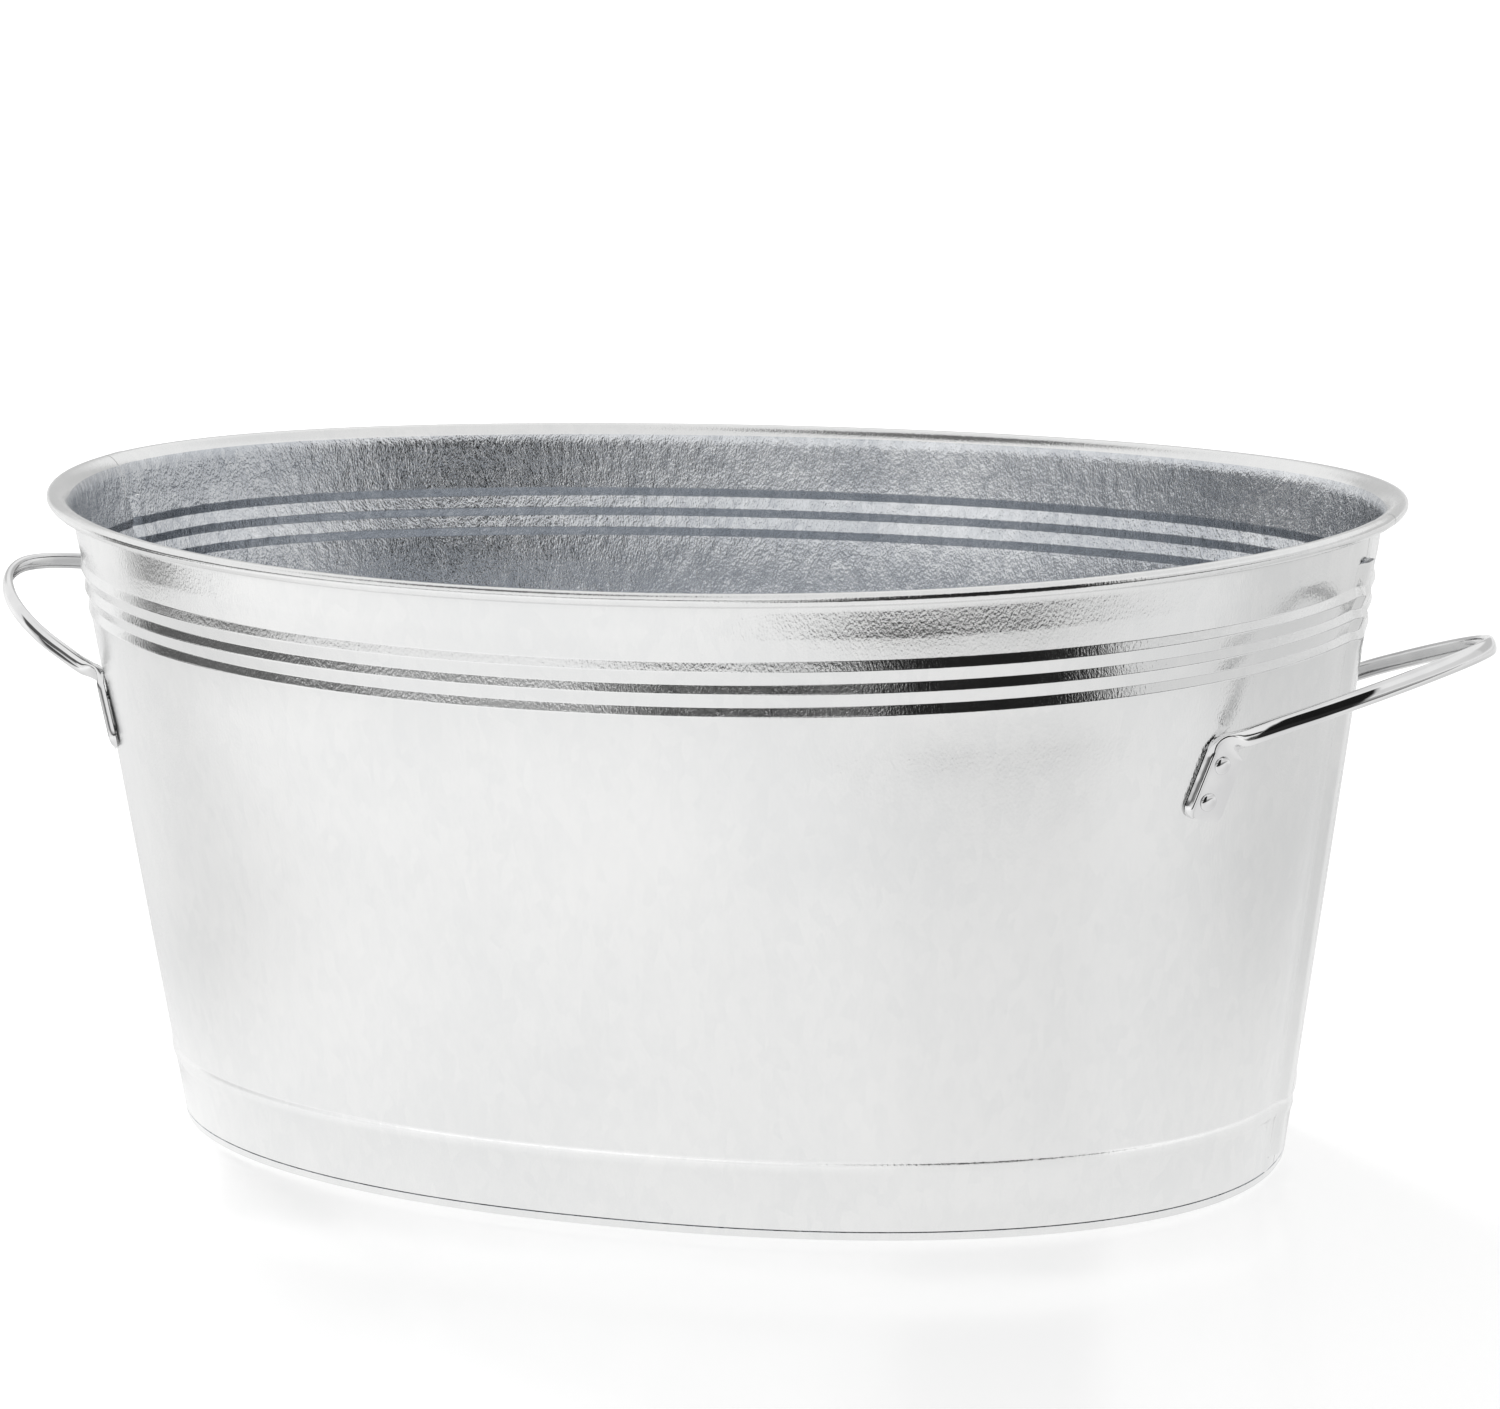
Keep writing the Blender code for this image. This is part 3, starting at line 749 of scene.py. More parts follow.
class SizedTree:
    """Geometry Nodes tree with named sizes, which ends in real geometry with its finish."""

    def __init__(self, name: str, sizes: dict[str, float]) -> None:
        """Open the tree.

        Args:
            name: Name of the tree.
            sizes: Its sizes, each of which gets an input socket of its name.
        """
        self.sizes = sizes
        self.graph = Graph(bpy.data.node_groups.new(name, "GeometryNodeTree"))
        face = self.graph.tree.interface
        kinds = {"geometry": "Geometry"} | {label: "Float" for label in sizes} | {"finish": "Material"}
        self.sockets = {}
        for label, kind in kinds.items():
            title = label.replace("_", " ").title()
            socket = face.new_socket(title, in_out="INPUT", socket_type="NodeSocket" + kind)
            self.sockets[label] = socket.identifier
        face.new_socket("Geometry", in_out="OUTPUT", socket_type="NodeSocketGeometry")
        given = dict(zip(kinds, self.graph.node("NodeGroupInput").outputs))
        self.geometry, self.finish = given.pop("geometry"), given.pop("finish")
        self.given = {label: Value(self.graph, socket) for label, socket in given.items()}

    def close(self, geometry: Socket) -> None:
        """End the tree in real geometry with its finish.

        Args:
            geometry: What the tree has made.
        """
        real = self.graph.socket("GeometryNodeRealizeInstances", {"Geometry": geometry})
        dressed = self.graph.socket("GeometryNodeSetMaterial", {"Geometry": real, "Material": self.finish})
        self.graph.node("NodeGroupOutput", {"Geometry": dressed})

    def run(self, name: str, data: Mesh, finish: Material, **changed: float) -> Mesh:
        """Run the tree on a mesh and keep the result as a plain one.

        Args:
            name: Name of the new mesh.
            data: The mesh that the tree starts from.
            finish: The finish that it sets.
            changed: Sizes that differ from the tree's own.

        Returns:
            The new mesh.
        """
        carrier = add_object(data.name, data)
        modifier = carrier.modifiers.new("Form", "NODES")
        modifier.node_group = self.graph.tree
        for label, given in (self.sizes | changed | {"finish": finish}).items():
            modifier[self.sockets[label]] = given
        mesh = bake_mesh(carrier, name)
        bpy.data.objects.remove(carrier, do_unlink=True)
        return mesh


# Sheets of the body and the floor


class SheetFormer:
    """Geometry Nodes tree that bends a flat blank to the flared oval."""

    CHANNELS = ("turn", "slide", "lift", "offset", "level", "saddle")

    def __init__(self, wall: OvalWall) -> None:
        """Lay out the tree.

        Args:
            wall: Sizes of the oval.
        """
        self.tree = SizedTree("form_sheet", asdict(wall) | {"facing": 1.0})
        graph, size = self.tree.graph, self.tree.given
        channels = (Value(graph, graph.attribute(name)) for name in self.CHANNELS)
        turn, slide, lift, offset, level, saddle = channels
        share = (level - size["foot_level"]) / (size["shoulder_level"] - size["foot_level"])
        length, width, square = (
            size["foot_" + name] + (size["shoulder_" + name] - size["foot_" + name]) * share
            for name in ("half_length", "half_width", "squareness")
        )
        across = turn.cos().signed_power(2.0 / square)
        along = turn.sin().signed_power(2.0 / square)
        rise = size["saddle_rise"] * (turn * 2.0).cos() + size["saddle_flat"] * (turn * 4.0).cos()
        lean_x = across.signed_power(square - 1.0) / length
        lean_y = along.signed_power(square - 1.0) / width
        reach = (lean_x * lean_x + lean_y * lean_y).root()
        normal_x, normal_y = lean_x / reach, lean_y / reach
        out = lift + offset
        x = (length * across + normal_x * out - normal_y * slide) * size["facing"]
        y = (width * along + normal_y * out + normal_x * slide) * size["facing"]
        moved = {"Geometry": self.tree.geometry, "Position": graph.vector(x, y, level + saddle * rise)}
        self.tree.close(graph.socket("GeometryNodeSetPosition", moved))

    def form(self, name: str, blank: Blank, facing: float, finish: Material) -> Object:
        """Bend a blank and keep the result as a plain mesh.

        Args:
            name: Name of the finished piece.
            blank: The flat sheet.
            facing: 1 as drawn, -1 turned half a turn round the tub.
            finish: The piece's finish.

        Returns:
            The formed open sheet.
        """
        data = bpy.data.meshes.new(name + "_blank")
        data.from_pydata([(p[0], p[1], p[4]) for p in blank.points], [], blank.faces)
        for number, channel in enumerate(self.CHANNELS):
            scale = math.pi / HALF_TURN if channel == "turn" else 1.0
            layer = data.attributes.new(channel, "FLOAT", "POINT")
            layer.data.foreach_set("value", [point[number] * scale for point in blank.points])
        formed = self.tree.run(name, data, finish, facing=facing)
        for channel in self.CHANNELS:
            formed.attributes.remove(formed.attributes[channel])
        return add_object(name, formed)


@dataclass(frozen=True)
class Sheet:
    """Sizes that the galvanized sheets share."""

    thickness: float = 0.0005
    gap: float = 0.0003
    seam_turn: float = -3.0
    crisp: float = 32.0
    inward_share: float = 0.5
    upward_share: float = 0.7

    @property
    def layer(self) -> float:
        """Pitch of two sheets that lie on each other."""
        return self.thickness + self.gap


@dataclass
class SheetPiece:
    """What the galvanized pieces share: the oval that they follow and how they are dressed."""

    wall: OvalWall
    sheet: Sheet

    def dress(self, item: Object, node: str, inside: Material, top: float) -> None:
        """Give a formed piece its thickness and its inside finish, and fix it to the frame.

        Args:
            item: The open formed sheet.
            node: CAD node that it stands for.
            inside: Finish of the faces that look into the tub, a darker copy of the zinc that paints the
                shade in there.
            top: Level up to which that finish reaches, without the rim's rise.
        """

        def looks_in(centre: Vector, normal: Vector) -> bool:
            """Whether a face looks into the tub."""
            inward = -(centre.x * normal.x + centre.y * normal.y) / math.hypot(centre.x, centre.y)
            faces_in = inward > self.sheet.inward_share or normal.z > self.sheet.upward_share
            return self.wall.below_rim(centre) < top and faces_in

        thicken(item, self.sheet.thickness, self.sheet.crisp)
        paint_where(item, inside, looks_in)
        fix_to_frame(item, [node])


@dataclass
class BodyHalf(SheetPiece):
    """One half of the body with its beads, rolled rim and the two hooks of its lock seams."""

    flare_reach: float = 0.0055
    flare_height: float = 0.00784
    flare_steps: int = 14
    # Height over the shoulder up to which the inside finish, with its painted shade, reaches up the flare.
    painted_shade_flare: float = 0.0045
    roll_half_depth: float = 0.00275
    roll_half_height: float = 0.00225
    roll_end: float = 230.0
    roll_steps: int = 26
    bead_top: float = 0.2151
    bead_pitch: float = 0.0079
    bead_count: int = 3
    crest_rise: float = 0.00065
    crease_depth: float = 0.00070
    top_depth: float = 0.00047
    crest_share: float = 0.42
    foot_share: float = 0.95
    bead_return: float = 0.0070
    bead_softness: float = 0.00035
    bead_steps: int = 5
    low_bead: tuple[Pair, ...] = (
        (0.0, 0.0238), (0.0004, 0.0250), (0.0006, 0.0264), (0.00053, 0.0275),
        (0.00044, 0.0284), (0.00021, 0.0294), (0.0, 0.0300), (0.0, 0.0306),
    )
    edge_level: float = 0.0011
    inset_top: float = 0.0032
    inset_end: float = 0.0037
    hook_bottom: float = 0.0090
    hook_top: float = 0.2235
    hook_relief: float = 0.0002
    over_join: float = 0.0100
    seam_join: float = 0.0050
    over_ramp: float = 0.0062
    over_ramp_steps: int = 8
    over_step_top: float = 0.0033
    over_fold: float = 0.0026
    over_return: float = 0.0014
    under_fold: float = 0.0018
    under_return: float = 0.0019
    fold_steps: int = 8
    row_spacing: float = 0.00042
    wall_rows: int = 14
    main_columns: int = 176
    end_turn: float = 2.3
    over_turn: float = 4.4

    def build(self, former: SheetFormer, name: str, facing: float, finish: Material) -> Object:
        """Form one half.

        Args:
            former: The tree that bends blanks.
            name: Name of the piece.
            facing: 1 for the front half, -1 for the back half.
            finish: Its material.

        Returns:
            The open formed sheet.
        """
        blank = Blank()
        main = self._main_columns()
        foot, hook, rim = self._foot_rows(), self._hook_rows(), self._rim_rows()
        blank.patch(main, foot + hook + rim)
        seam, half_gap = self.sheet.seam_turn, self.sheet.gap / 2
        for rows in (foot, rim):
            blank.patch([(seam, -half_gap, 0.0), main[0]], rows)
            blank.patch([main[-1], (seam - HALF_TURN, half_gap, 0.0)], rows)
        blank.patch([*self._over_columns(), main[0]], hook)
        blank.patch([main[-1], *self._under_columns()], hook)
        return former.form(name, blank, facing, finish)

    def _main_columns(self) -> list[Column]:
        """Columns from the right seam round the front to the left seam.

        Returns:
            The columns.
        """
        near, far = self.sheet.seam_turn, self.sheet.seam_turn - HALF_TURN
        turns = even_steps(near - self.over_turn, far + self.end_turn, self.main_columns)
        middle = [(turn, 0.0, 0.0) for turn in turns]
        return [(near, -self.over_join, 0.0), *middle, (far, self.seam_join, 0.0)]

    def _foot_rows(self) -> list[Row]:
        """Foot of the body, set in behind the hem.

        Returns:
            The rows.
        """
        inset = -self.sheet.layer
        pairs = smooth_rows([(inset, self.inset_top), (0.0, self.inset_end)], self.row_spacing)
        end = (0.0, self.hook_bottom - self.hook_relief)
        return rows_at(0.0, [(inset, self.edge_level), *pairs, end])

    def _bead_rows(self) -> list[Pair]:
        """Offsets and levels of the three upper beads, each with its corners rounded.

        Returns:
            The pairs, rising in level.
        """
        last = self.bead_count - 1
        sharp = [(0.0, self.bead_top - (last + self.foot_share) * self.bead_pitch)]
        for index in range(self.bead_count):
            crease = self.bead_top - (last - index) * self.bead_pitch
            depth = self.top_depth if index == last else self.crease_depth
            sharp += [(self.crest_rise, crease - self.bead_pitch * self.crest_share), (-depth, crease)]
        sharp.append((0.0, self.bead_top + self.bead_return))
        return rounded_rows(sharp, self.bead_softness, self.bead_steps)

    def _hook_rows(self) -> list[Row]:
        """Part of the body that carries the lock seams.

        Returns:
            The rows.
        """
        low = smooth_rows(self.low_bead, self.row_spacing)
        beads = self._bead_rows()
        levels = even_steps(low[-1][1], beads[0][1], self.wall_rows)
        middle = [(0.0, level, index / self.wall_rows) for index, level in enumerate(levels)][1:-1]
        low, beads = [(0.0, self.hook_bottom), *low], [*beads, (0.0, self.hook_top)]
        return rows_at(0.0, low) + middle + rows_at(1.0, beads)

    def _rim_rows(self) -> list[Row]:
        """Flare and outward roll of the rim.

        Returns:
            The rows.
        """
        shoulder = self.wall.shoulder_level
        centre = shoulder + self.flare_height - self.roll_half_height
        pairs = [(0.0, self.hook_top + self.hook_relief), (0.0, shoulder)]
        for cos, sin in arc(0.0, QUARTER_TURN, self.flare_steps)[1:]:
            pairs.append((self.flare_reach * (1 - cos), shoulder + self.flare_height * sin))
        for cos, sin in arc(0.0, self.roll_end, self.roll_steps)[1:]:
            offset = self.flare_reach + self.roll_half_depth * sin
            pairs.append((offset, centre + self.roll_half_height * cos))
        return rows_at(1.0, pairs)

    def _fold(self, turn: float, middle: float, rise: float, way: float) -> list[Column]:
        """Columns of a tight fold round a slide and a lift, which bulges forward or back."""
        bends, layer = arc(-QUARTER_TURN, QUARTER_TURN, self.fold_steps), self.sheet.layer
        return [(turn, middle + way * layer * cos, rise + layer * sin) for cos, sin in bends]

    def _over_columns(self) -> list[Column]:
        """Hook that lies over the other half.

        Returns:
            The columns.
        """
        seam, layer = self.sheet.seam_turn, self.sheet.layer
        columns = [(seam, -self.over_return, layer), *self._fold(seam, self.over_fold, 2 * layer, 1.0)]
        for share in even_steps(0.0, 1.0, self.over_ramp_steps):
            slide = -self.over_step_top - self.over_ramp * share
            columns.append((seam, slide, 3 * layer * (1.0 - ease(0.0, 1.0, share))))
        return columns

    def _under_columns(self) -> list[Column]:
        """Hook that lies under the other half."""
        seam, layer = self.sheet.seam_turn - HALF_TURN, self.sheet.layer
        return [*self._fold(seam, -self.under_fold, layer, -1.0), (seam, self.under_return, 2 * layer)]


@dataclass
class FloorPan(SheetPiece):
    """Floor of the tub with its pressed bead and the hem folded round the foot of the body."""

    hem_layers: int = 2
    hem_top: float = 0.0031
    hem_corner_level: float = 0.0009
    hem_corner: float = 0.00035
    hem_corner_shares: Pair = (0.3, 0.55)
    foot_clearance: float = 0.000002
    wall_top: float = 0.0095
    corner_level: float = 0.0113
    corner_inset: float = 0.0010
    corner_steps: int = 5
    floor_level: float = 0.0120
    edge_inset: float = 0.0032
    edge_steps: int = 4
    bead_inset: float = 0.0260
    bead_width: float = 0.0100
    bead_rise: float = 0.0016
    bead_power: float = 1.4
    bead_steps: int = 24
    least_share: float = 0.1
    columns: int = 360

    def build(self, former: SheetFormer, name: str, finish: Material) -> Object:
        """Form the pan.

        Args:
            former: The tree that bends blanks.
            name: Name of the piece.
            finish: Its material.

        Returns:
            The open formed sheet.
        """
        ring = [(turn, 0.0, 0.0) for turn in even_steps(0.0, FULL_TURN, self.columns)[:-1]]
        rows = rows_at(0.0, self._profile())
        blank = Blank()
        blank.patch([*ring, ring[0]], rows)
        blank.cap(ring, rows[-1])
        return former.form(name, blank, 1.0, finish)

    def _profile(self) -> list[Pair]:
        """Offsets and levels from the hem's top edge in to the flat floor.

        Returns:
            The pairs, without those that nearly meet.
        """
        inner = -self.hem_layers * self.sheet.layer
        low = self.sheet.thickness / 2 + self.foot_clearance
        edge, outer = inner - self.edge_inset, inner - self.bead_inset
        inset, rise = (self.hem_corner * share for share in self.hem_corner_shares)
        corner = [
            (inner, self.wall_top),
            (inner - self.corner_inset, self.corner_level),
            (edge, self.floor_level),
        ]
        profile = [
            (0.0, self.hem_top),
            (0.0, self.hem_corner_level),
            (-inset, low + rise),
            (-self.hem_corner, low),
            (inner + self.hem_corner, low),
            (inner + inset, low + rise),
            (inner, self.hem_corner_level),
            *through(corner, self.corner_steps),
        ]
        for share in even_steps(0.0, 1.0, self.edge_steps):
            profile.append((blend(edge, outer, share), self.floor_level))
        for share in even_steps(0.0, 1.0, self.bead_steps)[1:]:
            bead = self.bead_rise * math.sin(math.pi * share) ** self.bead_power
            profile.append((outer - self.bead_width * share, self.floor_level + bead))
        kept = [profile[0]]
        for pair in profile[1:]:
            step = abs(pair[0] - kept[-1][0]) + abs(pair[1] - kept[-1][1])
            if step > self.hem_corner * self.least_share:
                kept.append(pair)
        return kept


# Handles and rivets


def axes_turn(along: Vector, lead: Vector, normal: Vector) -> Quaternion:
    """Rotation that carries the axes to a station's own directions."""
    return Matrix((along, lead, normal)).transposed().to_quaternion()


def set_section(centre: Vector, lead: Vector, normal: Vector, section: Sequence[Pair]) -> list[Vector]:
    """Points of one section, set across the strip."""
    return [centre + lead * across + normal * rise for across, rise in section]


@dataclass(frozen=True)
class EarPlace:
    """Where one ear of a handle lies on the wall, and which way it faces."""

    origin: Vector
    lead: Vector
    down: Vector
    normal: Vector

    def at(self, drop: float) -> Vector:
        """Point of the ear's middle line, a drop below its centre."""
        return self.origin + self.down * drop


@dataclass(frozen=True)
class WallSurface:
    """Middle surface of both half bodies, for whatever is laid on them."""

    trees: tuple[BVHTree, ...]
    clearance: float = 0.022

    def rise_over(self, foot: Vector, normal: Vector) -> float | None:
        """How far the wall bulges over a flat.

        Args:
            foot: Point of the flat.
            normal: The flat's outward normal.

        Returns:
            Distance from the flat to the wall, or None where the wall isn't met.
        """
        for tree in self.trees:
            hit = tree.ray_cast(foot + normal * self.clearance, -normal, 3 * self.clearance)[0]
            if hit is not None:
                return (hit - foot).dot(normal)
        return None


@dataclass
class Handle:
    """A channel handle pressed from one strip, with a flat ear at each end."""

    wall: OvalWall
    sheet: Sheet
    side: Side
    tilt: float
    reach: float
    front_level: float
    back_level: float
    spread: float = 26.3
    facet_half_spread: float = 4.6
    lean: float = 22.0
    strip: float = 0.0008
    rivet_spacing: float = 0.0134
    below_rivet: float = 0.0065
    above_rivet: float = 0.0034
    corner: float = 0.0037
    ear_half_width: float = 0.0082
    ear_bead_rise: float = 0.0022
    ear_end_width_share: float = 0.62
    ear_end_bead_share: float = 0.3
    ear_stations: int = 10
    loop_half_width: float = 0.0028
    loop_depth: float = 0.0028
    reach_share: float = 1.48
    width_share: float = 1.1
    root_rise: float = 0.0086
    root_stand_off: float = 0.0065
    bend_pull: float = 0.0040
    bend_turn_share: float = 1.1
    bend_narrow_end: float = 0.85
    bend_free_end: float = 0.50
    facet_rows: Pair = (0.0306, 0.191795)
    section_steps: int = 5
    loop_stations: int = 40
    leg_step: float = QUARTER_TURN / 16
    bend_stations: int = 18
    clear_from: float = 0.004
    clear_to: float = 0.022
    ear_reach: float = 0.020
    ear_clear: float = 0.013
    channel_share: float = 0.35
    crisp: float = 50.0
    ear_section: tuple[Pair, ...] = (
        (1.02, 0.0), (0.96, 0.55), (0.85, 1.0), (0.72, 0.60), (0.62, 0.04),
        (0.1, 0.0), (-0.30, 0.0), (-0.65, 0.0), (-1.0, 0.0),
    )
    loop_section: tuple[Pair, ...] = (
        (0.79, -1.0), (1.0, -0.68), (0.94, -0.30), (0.60, -0.09), (0.0, 0.0),
        (-0.60, -0.09), (-0.94, -0.30), (-1.0, -0.68), (-0.79, -1.0),
    )

    @cached_property
    def ears(self) -> tuple[EarPlace, EarPlace]:
        """Both ears, the first one met when going anticlockwise seen from above."""
        front, back = self._ear(End.FRONT, self.front_level), self._ear(End.BACK, self.back_level)
        return (front, back) if self.side is Side.RIGHT else (back, front)

    @property
    def ear_top(self) -> float:
        """Drop of the place where the flat ear ends and its bend starts."""
        return -self.rivet_spacing / 2 - self.above_rivet

    @property
    def stand(self) -> float:
        """Distance from the wall's middle surface to the strip's."""
        return self.sheet.thickness / 2 + self.sheet.gap + self.strip / 2

    def _ear(self, end: End, level: float) -> EarPlace:
        """Lay one ear on the flat that the wall has under it.

        Args:
            end: Which ear of the handle it is.
            level: Height of its centre.

        Returns:
            The ear's place.
        """
        seam = self.sheet.seam_turn - (0.0 if self.side is Side.RIGHT else HALF_TURN)
        forward = -1.0 if (self.side is Side.RIGHT) == (end is End.FRONT) else 1.0
        turn = seam + forward * self.spread
        low, high = (0.0, self.facet_rows[0], 0.0), (0.0, self.facet_rows[1], 1.0)
        (near_low, near_high), (far_low, far_high) = (
            [self.wall.place((turn + way * self.facet_half_spread, 0.0, 0.0), row) for row in (low, high)]
            for way in (-forward, forward)
        )
        share = (level - low[1]) / (high[1] - low[1])
        near, far = near_low.lerp(near_high, share), far_low.lerp(far_high, share)
        away = (far - near).normalized()
        down = (near_low.lerp(far_low, 0.5) - near_high.lerp(far_high, 0.5)).normalized()
        normal = away.cross(down).normalized()
        centre = near.lerp(far, 0.5)
        if normal.dot(Vector((centre.x, centre.y, 0.0))) < 0:
            normal.negate()
        down = (down - away * down.dot(away)).normalized()
        cos, sin = math.cos(math.radians(self.lean)), math.sin(math.radians(self.lean))
        return EarPlace(
            centre + normal * self.stand, away * cos - down * sin, down * cos + away * sin, normal
        )

    def _dense(self, shares: Sequence[Pair], width: float, rise: float) -> list[Pair]:
        """Section in metres with soft corners, as across and rise."""
        return through([(across * width, up * rise) for across, up in shares], self.section_steps)

    def _stations(self) -> list[list[Vector]]:
        """Every section of the strip from one ear round the loop to the other.

        Returns:
            The sections' points.
        """
        first, last = self.ears
        loop = LoopPath(self, first, last)
        stations = self._ear_stations(first) + self._bend_stations(first, loop, -QUARTER_TURN)
        step = QUARTER_TURN / self.loop_stations
        section = self._dense(self.loop_section, self.loop_half_width, self.loop_depth)
        for index in range(-self.loop_stations, self.loop_stations + 1):
            normal = loop.frame(index * step, step)[1]
            stations.append(set_section(loop.point(index * step), loop.lead, normal, section))
        stations += reversed(self._bend_stations(last, loop, QUARTER_TURN))
        stations += reversed(self._ear_stations(last))
        return stations

    def _ear_stations(self, ear: EarPlace) -> list[list[Vector]]:
        """Sections of the flat ear, from its rounded end up to the bend.

        Args:
            ear: The ear's place.

        Returns:
            The sections' points.
        """
        end = self.rivet_spacing / 2 + self.below_rivet
        cuts = []
        for cos, sin in arc(0.0, QUARTER_TURN, self.ear_stations):
            width = blend(self.ear_end_width_share, 1.0, sin)
            bead = blend(self.ear_end_bead_share, 1.0, sin)
            cuts.append((end - self.corner * (1 - cos), width, bead))
        drops = even_steps(end - self.corner, self.ear_top, self.ear_stations)[1:]
        cuts += [(drop, 1.0, 1.0) for drop in drops]
        stations = []
        for drop, width, bead in cuts:
            section = self._dense(self.ear_section, self.ear_half_width * width, self.ear_bead_rise * bead)
            stations.append(set_section(ear.at(drop), ear.lead, ear.normal, section))
        return stations

    def _bend_stations(self, ear: EarPlace, loop: "LoopPath", leg_turn: float) -> list[list[Vector]]:
        """Sections of the bend that carries the ear over into the leg.

        Args:
            ear: The ear's place.
            loop: The loop that the leg belongs to.
            leg_turn: Turn of the loop at that leg.

        Returns:
            The sections' points.
        """
        along, leg_normal = loop.frame(leg_turn, self.leg_step)
        along = -along if leg_turn > 0 else along
        top, root = ear.at(self.ear_top), loop.point(leg_turn)
        side = 1.0 if (-ear.down).cross(ear.lead).dot(ear.normal) > 0 else -1.0
        ear_turn = axes_turn(-ear.down, ear.lead, ear.normal * side)
        leg_frame = axes_turn(along, loop.lead, leg_normal * side)
        flat = self._dense(self.ear_section, self.ear_half_width, self.ear_bead_rise)
        channel = self._dense(self.loop_section, self.loop_half_width, self.loop_depth)
        stations = []
        for share in even_steps(0.0, 1.0, self.bend_stations)[1:-1]:
            rest = 1 - share
            centre = (
                top * rest**3
                + (top - ear.down * self.bend_pull) * (3 * rest**2 * share)
                + (root - along * self.bend_pull) * (3 * rest * share**2)
                + root * share**3
            )
            turned = ear_turn.slerp(leg_frame, share**self.bend_turn_share).to_matrix()
            ridge = ease(0.0, self.bend_narrow_end, share)
            free = ease(0.0, self.bend_free_end, share)
            deep = ease(0.0, 1.0, share)
            section = [
                (blend(a[0], b[0], ridge if a[0] > 0.0 else free), blend(a[1], b[1], deep))
                for a, b in zip(flat, channel)
            ]
            stations.append(set_section(centre, turned.col[1], turned.col[2] * side, section))
        return stations

    def _lay_on(self, surface: WallSurface, point: Vector) -> Vector:
        """Move a point of an ear off the round wall by as much as the wall bulges over its flat.

        Args:
            surface: The wall.
            point: The point as if the wall were flat there.

        Returns:
            The moved point, which is the same one away from the wall.
        """
        ear = min(self.ears, key=lambda place: (place.origin - point).length)
        height = (point - ear.origin).dot(ear.normal)
        foot = point - ear.normal * height
        near = 1.0 - ease(self.clear_from, self.clear_to, height)
        weight = near * (1.0 - ease(self.ear_reach, 2 * self.ear_reach, (foot - ear.origin).length))
        rise = surface.rise_over(foot, ear.normal)
        if rise is None or weight == 0.0:
            return point
        return point + ear.normal * ((rise + self.stand) * weight)

    def build(self, name: str, surface: WallSurface, finish: Material, inside: Material) -> None:
        """Loft the strip, dress it and fix it to the frame.

        Args:
            name: Name of the piece.
            surface: The wall that the ears lie on.
            finish: Its material.
            inside: Material of the channel's inside, a darker chrome that paints the shade there.
        """
        mesh = bmesh.new()
        stations = self._stations()
        rows = [[mesh.verts.new(self._lay_on(surface, point)) for point in station] for station in stations]
        for low, high in zip(rows, rows[1:]):
            for index in range(len(low) - 1):
                mesh.faces.new((low[index], low[index + 1], high[index + 1], high[index]))
        data = bpy.data.meshes.new(name)
        mesh.to_mesh(data)
        mesh.free()
        data.materials.append(finish)
        item = add_object(name, data)
        thicken(item, self.strip, self.crisp)
        middle = LoopPath(self, *self.ears).middle

        def in_channel(centre: Vector, normal: Vector) -> bool:
            """Whether a face looks from the channel towards the wall."""
            away = min((ear.origin - centre).length for ear in self.ears)
            return away > self.ear_clear and (middle - centre).normalized().dot(normal) > self.channel_share

        # Painted shade: the channel's faces towards the wall get the darker chrome.
        paint_where(item, inside, in_channel)
        fix_to_frame(item, ["handle_" + self.side.value])

    def rivet_seats(self, surface: WallSurface) -> list[tuple[Vector, Vector]]:
        """Where the rivets' heads sit.

        Args:
            surface: The wall under the ears.

        Returns:
            A point under each head and the way that it faces.
        """
        seats = []
        for ear in self.ears:
            for drop in (-self.rivet_spacing / 2, self.rivet_spacing / 2):
                seat = self._lay_on(surface, ear.at(drop)) + ear.normal * (self.strip / 2)
                seats.append((seat, ear.normal.copy()))
        return seats


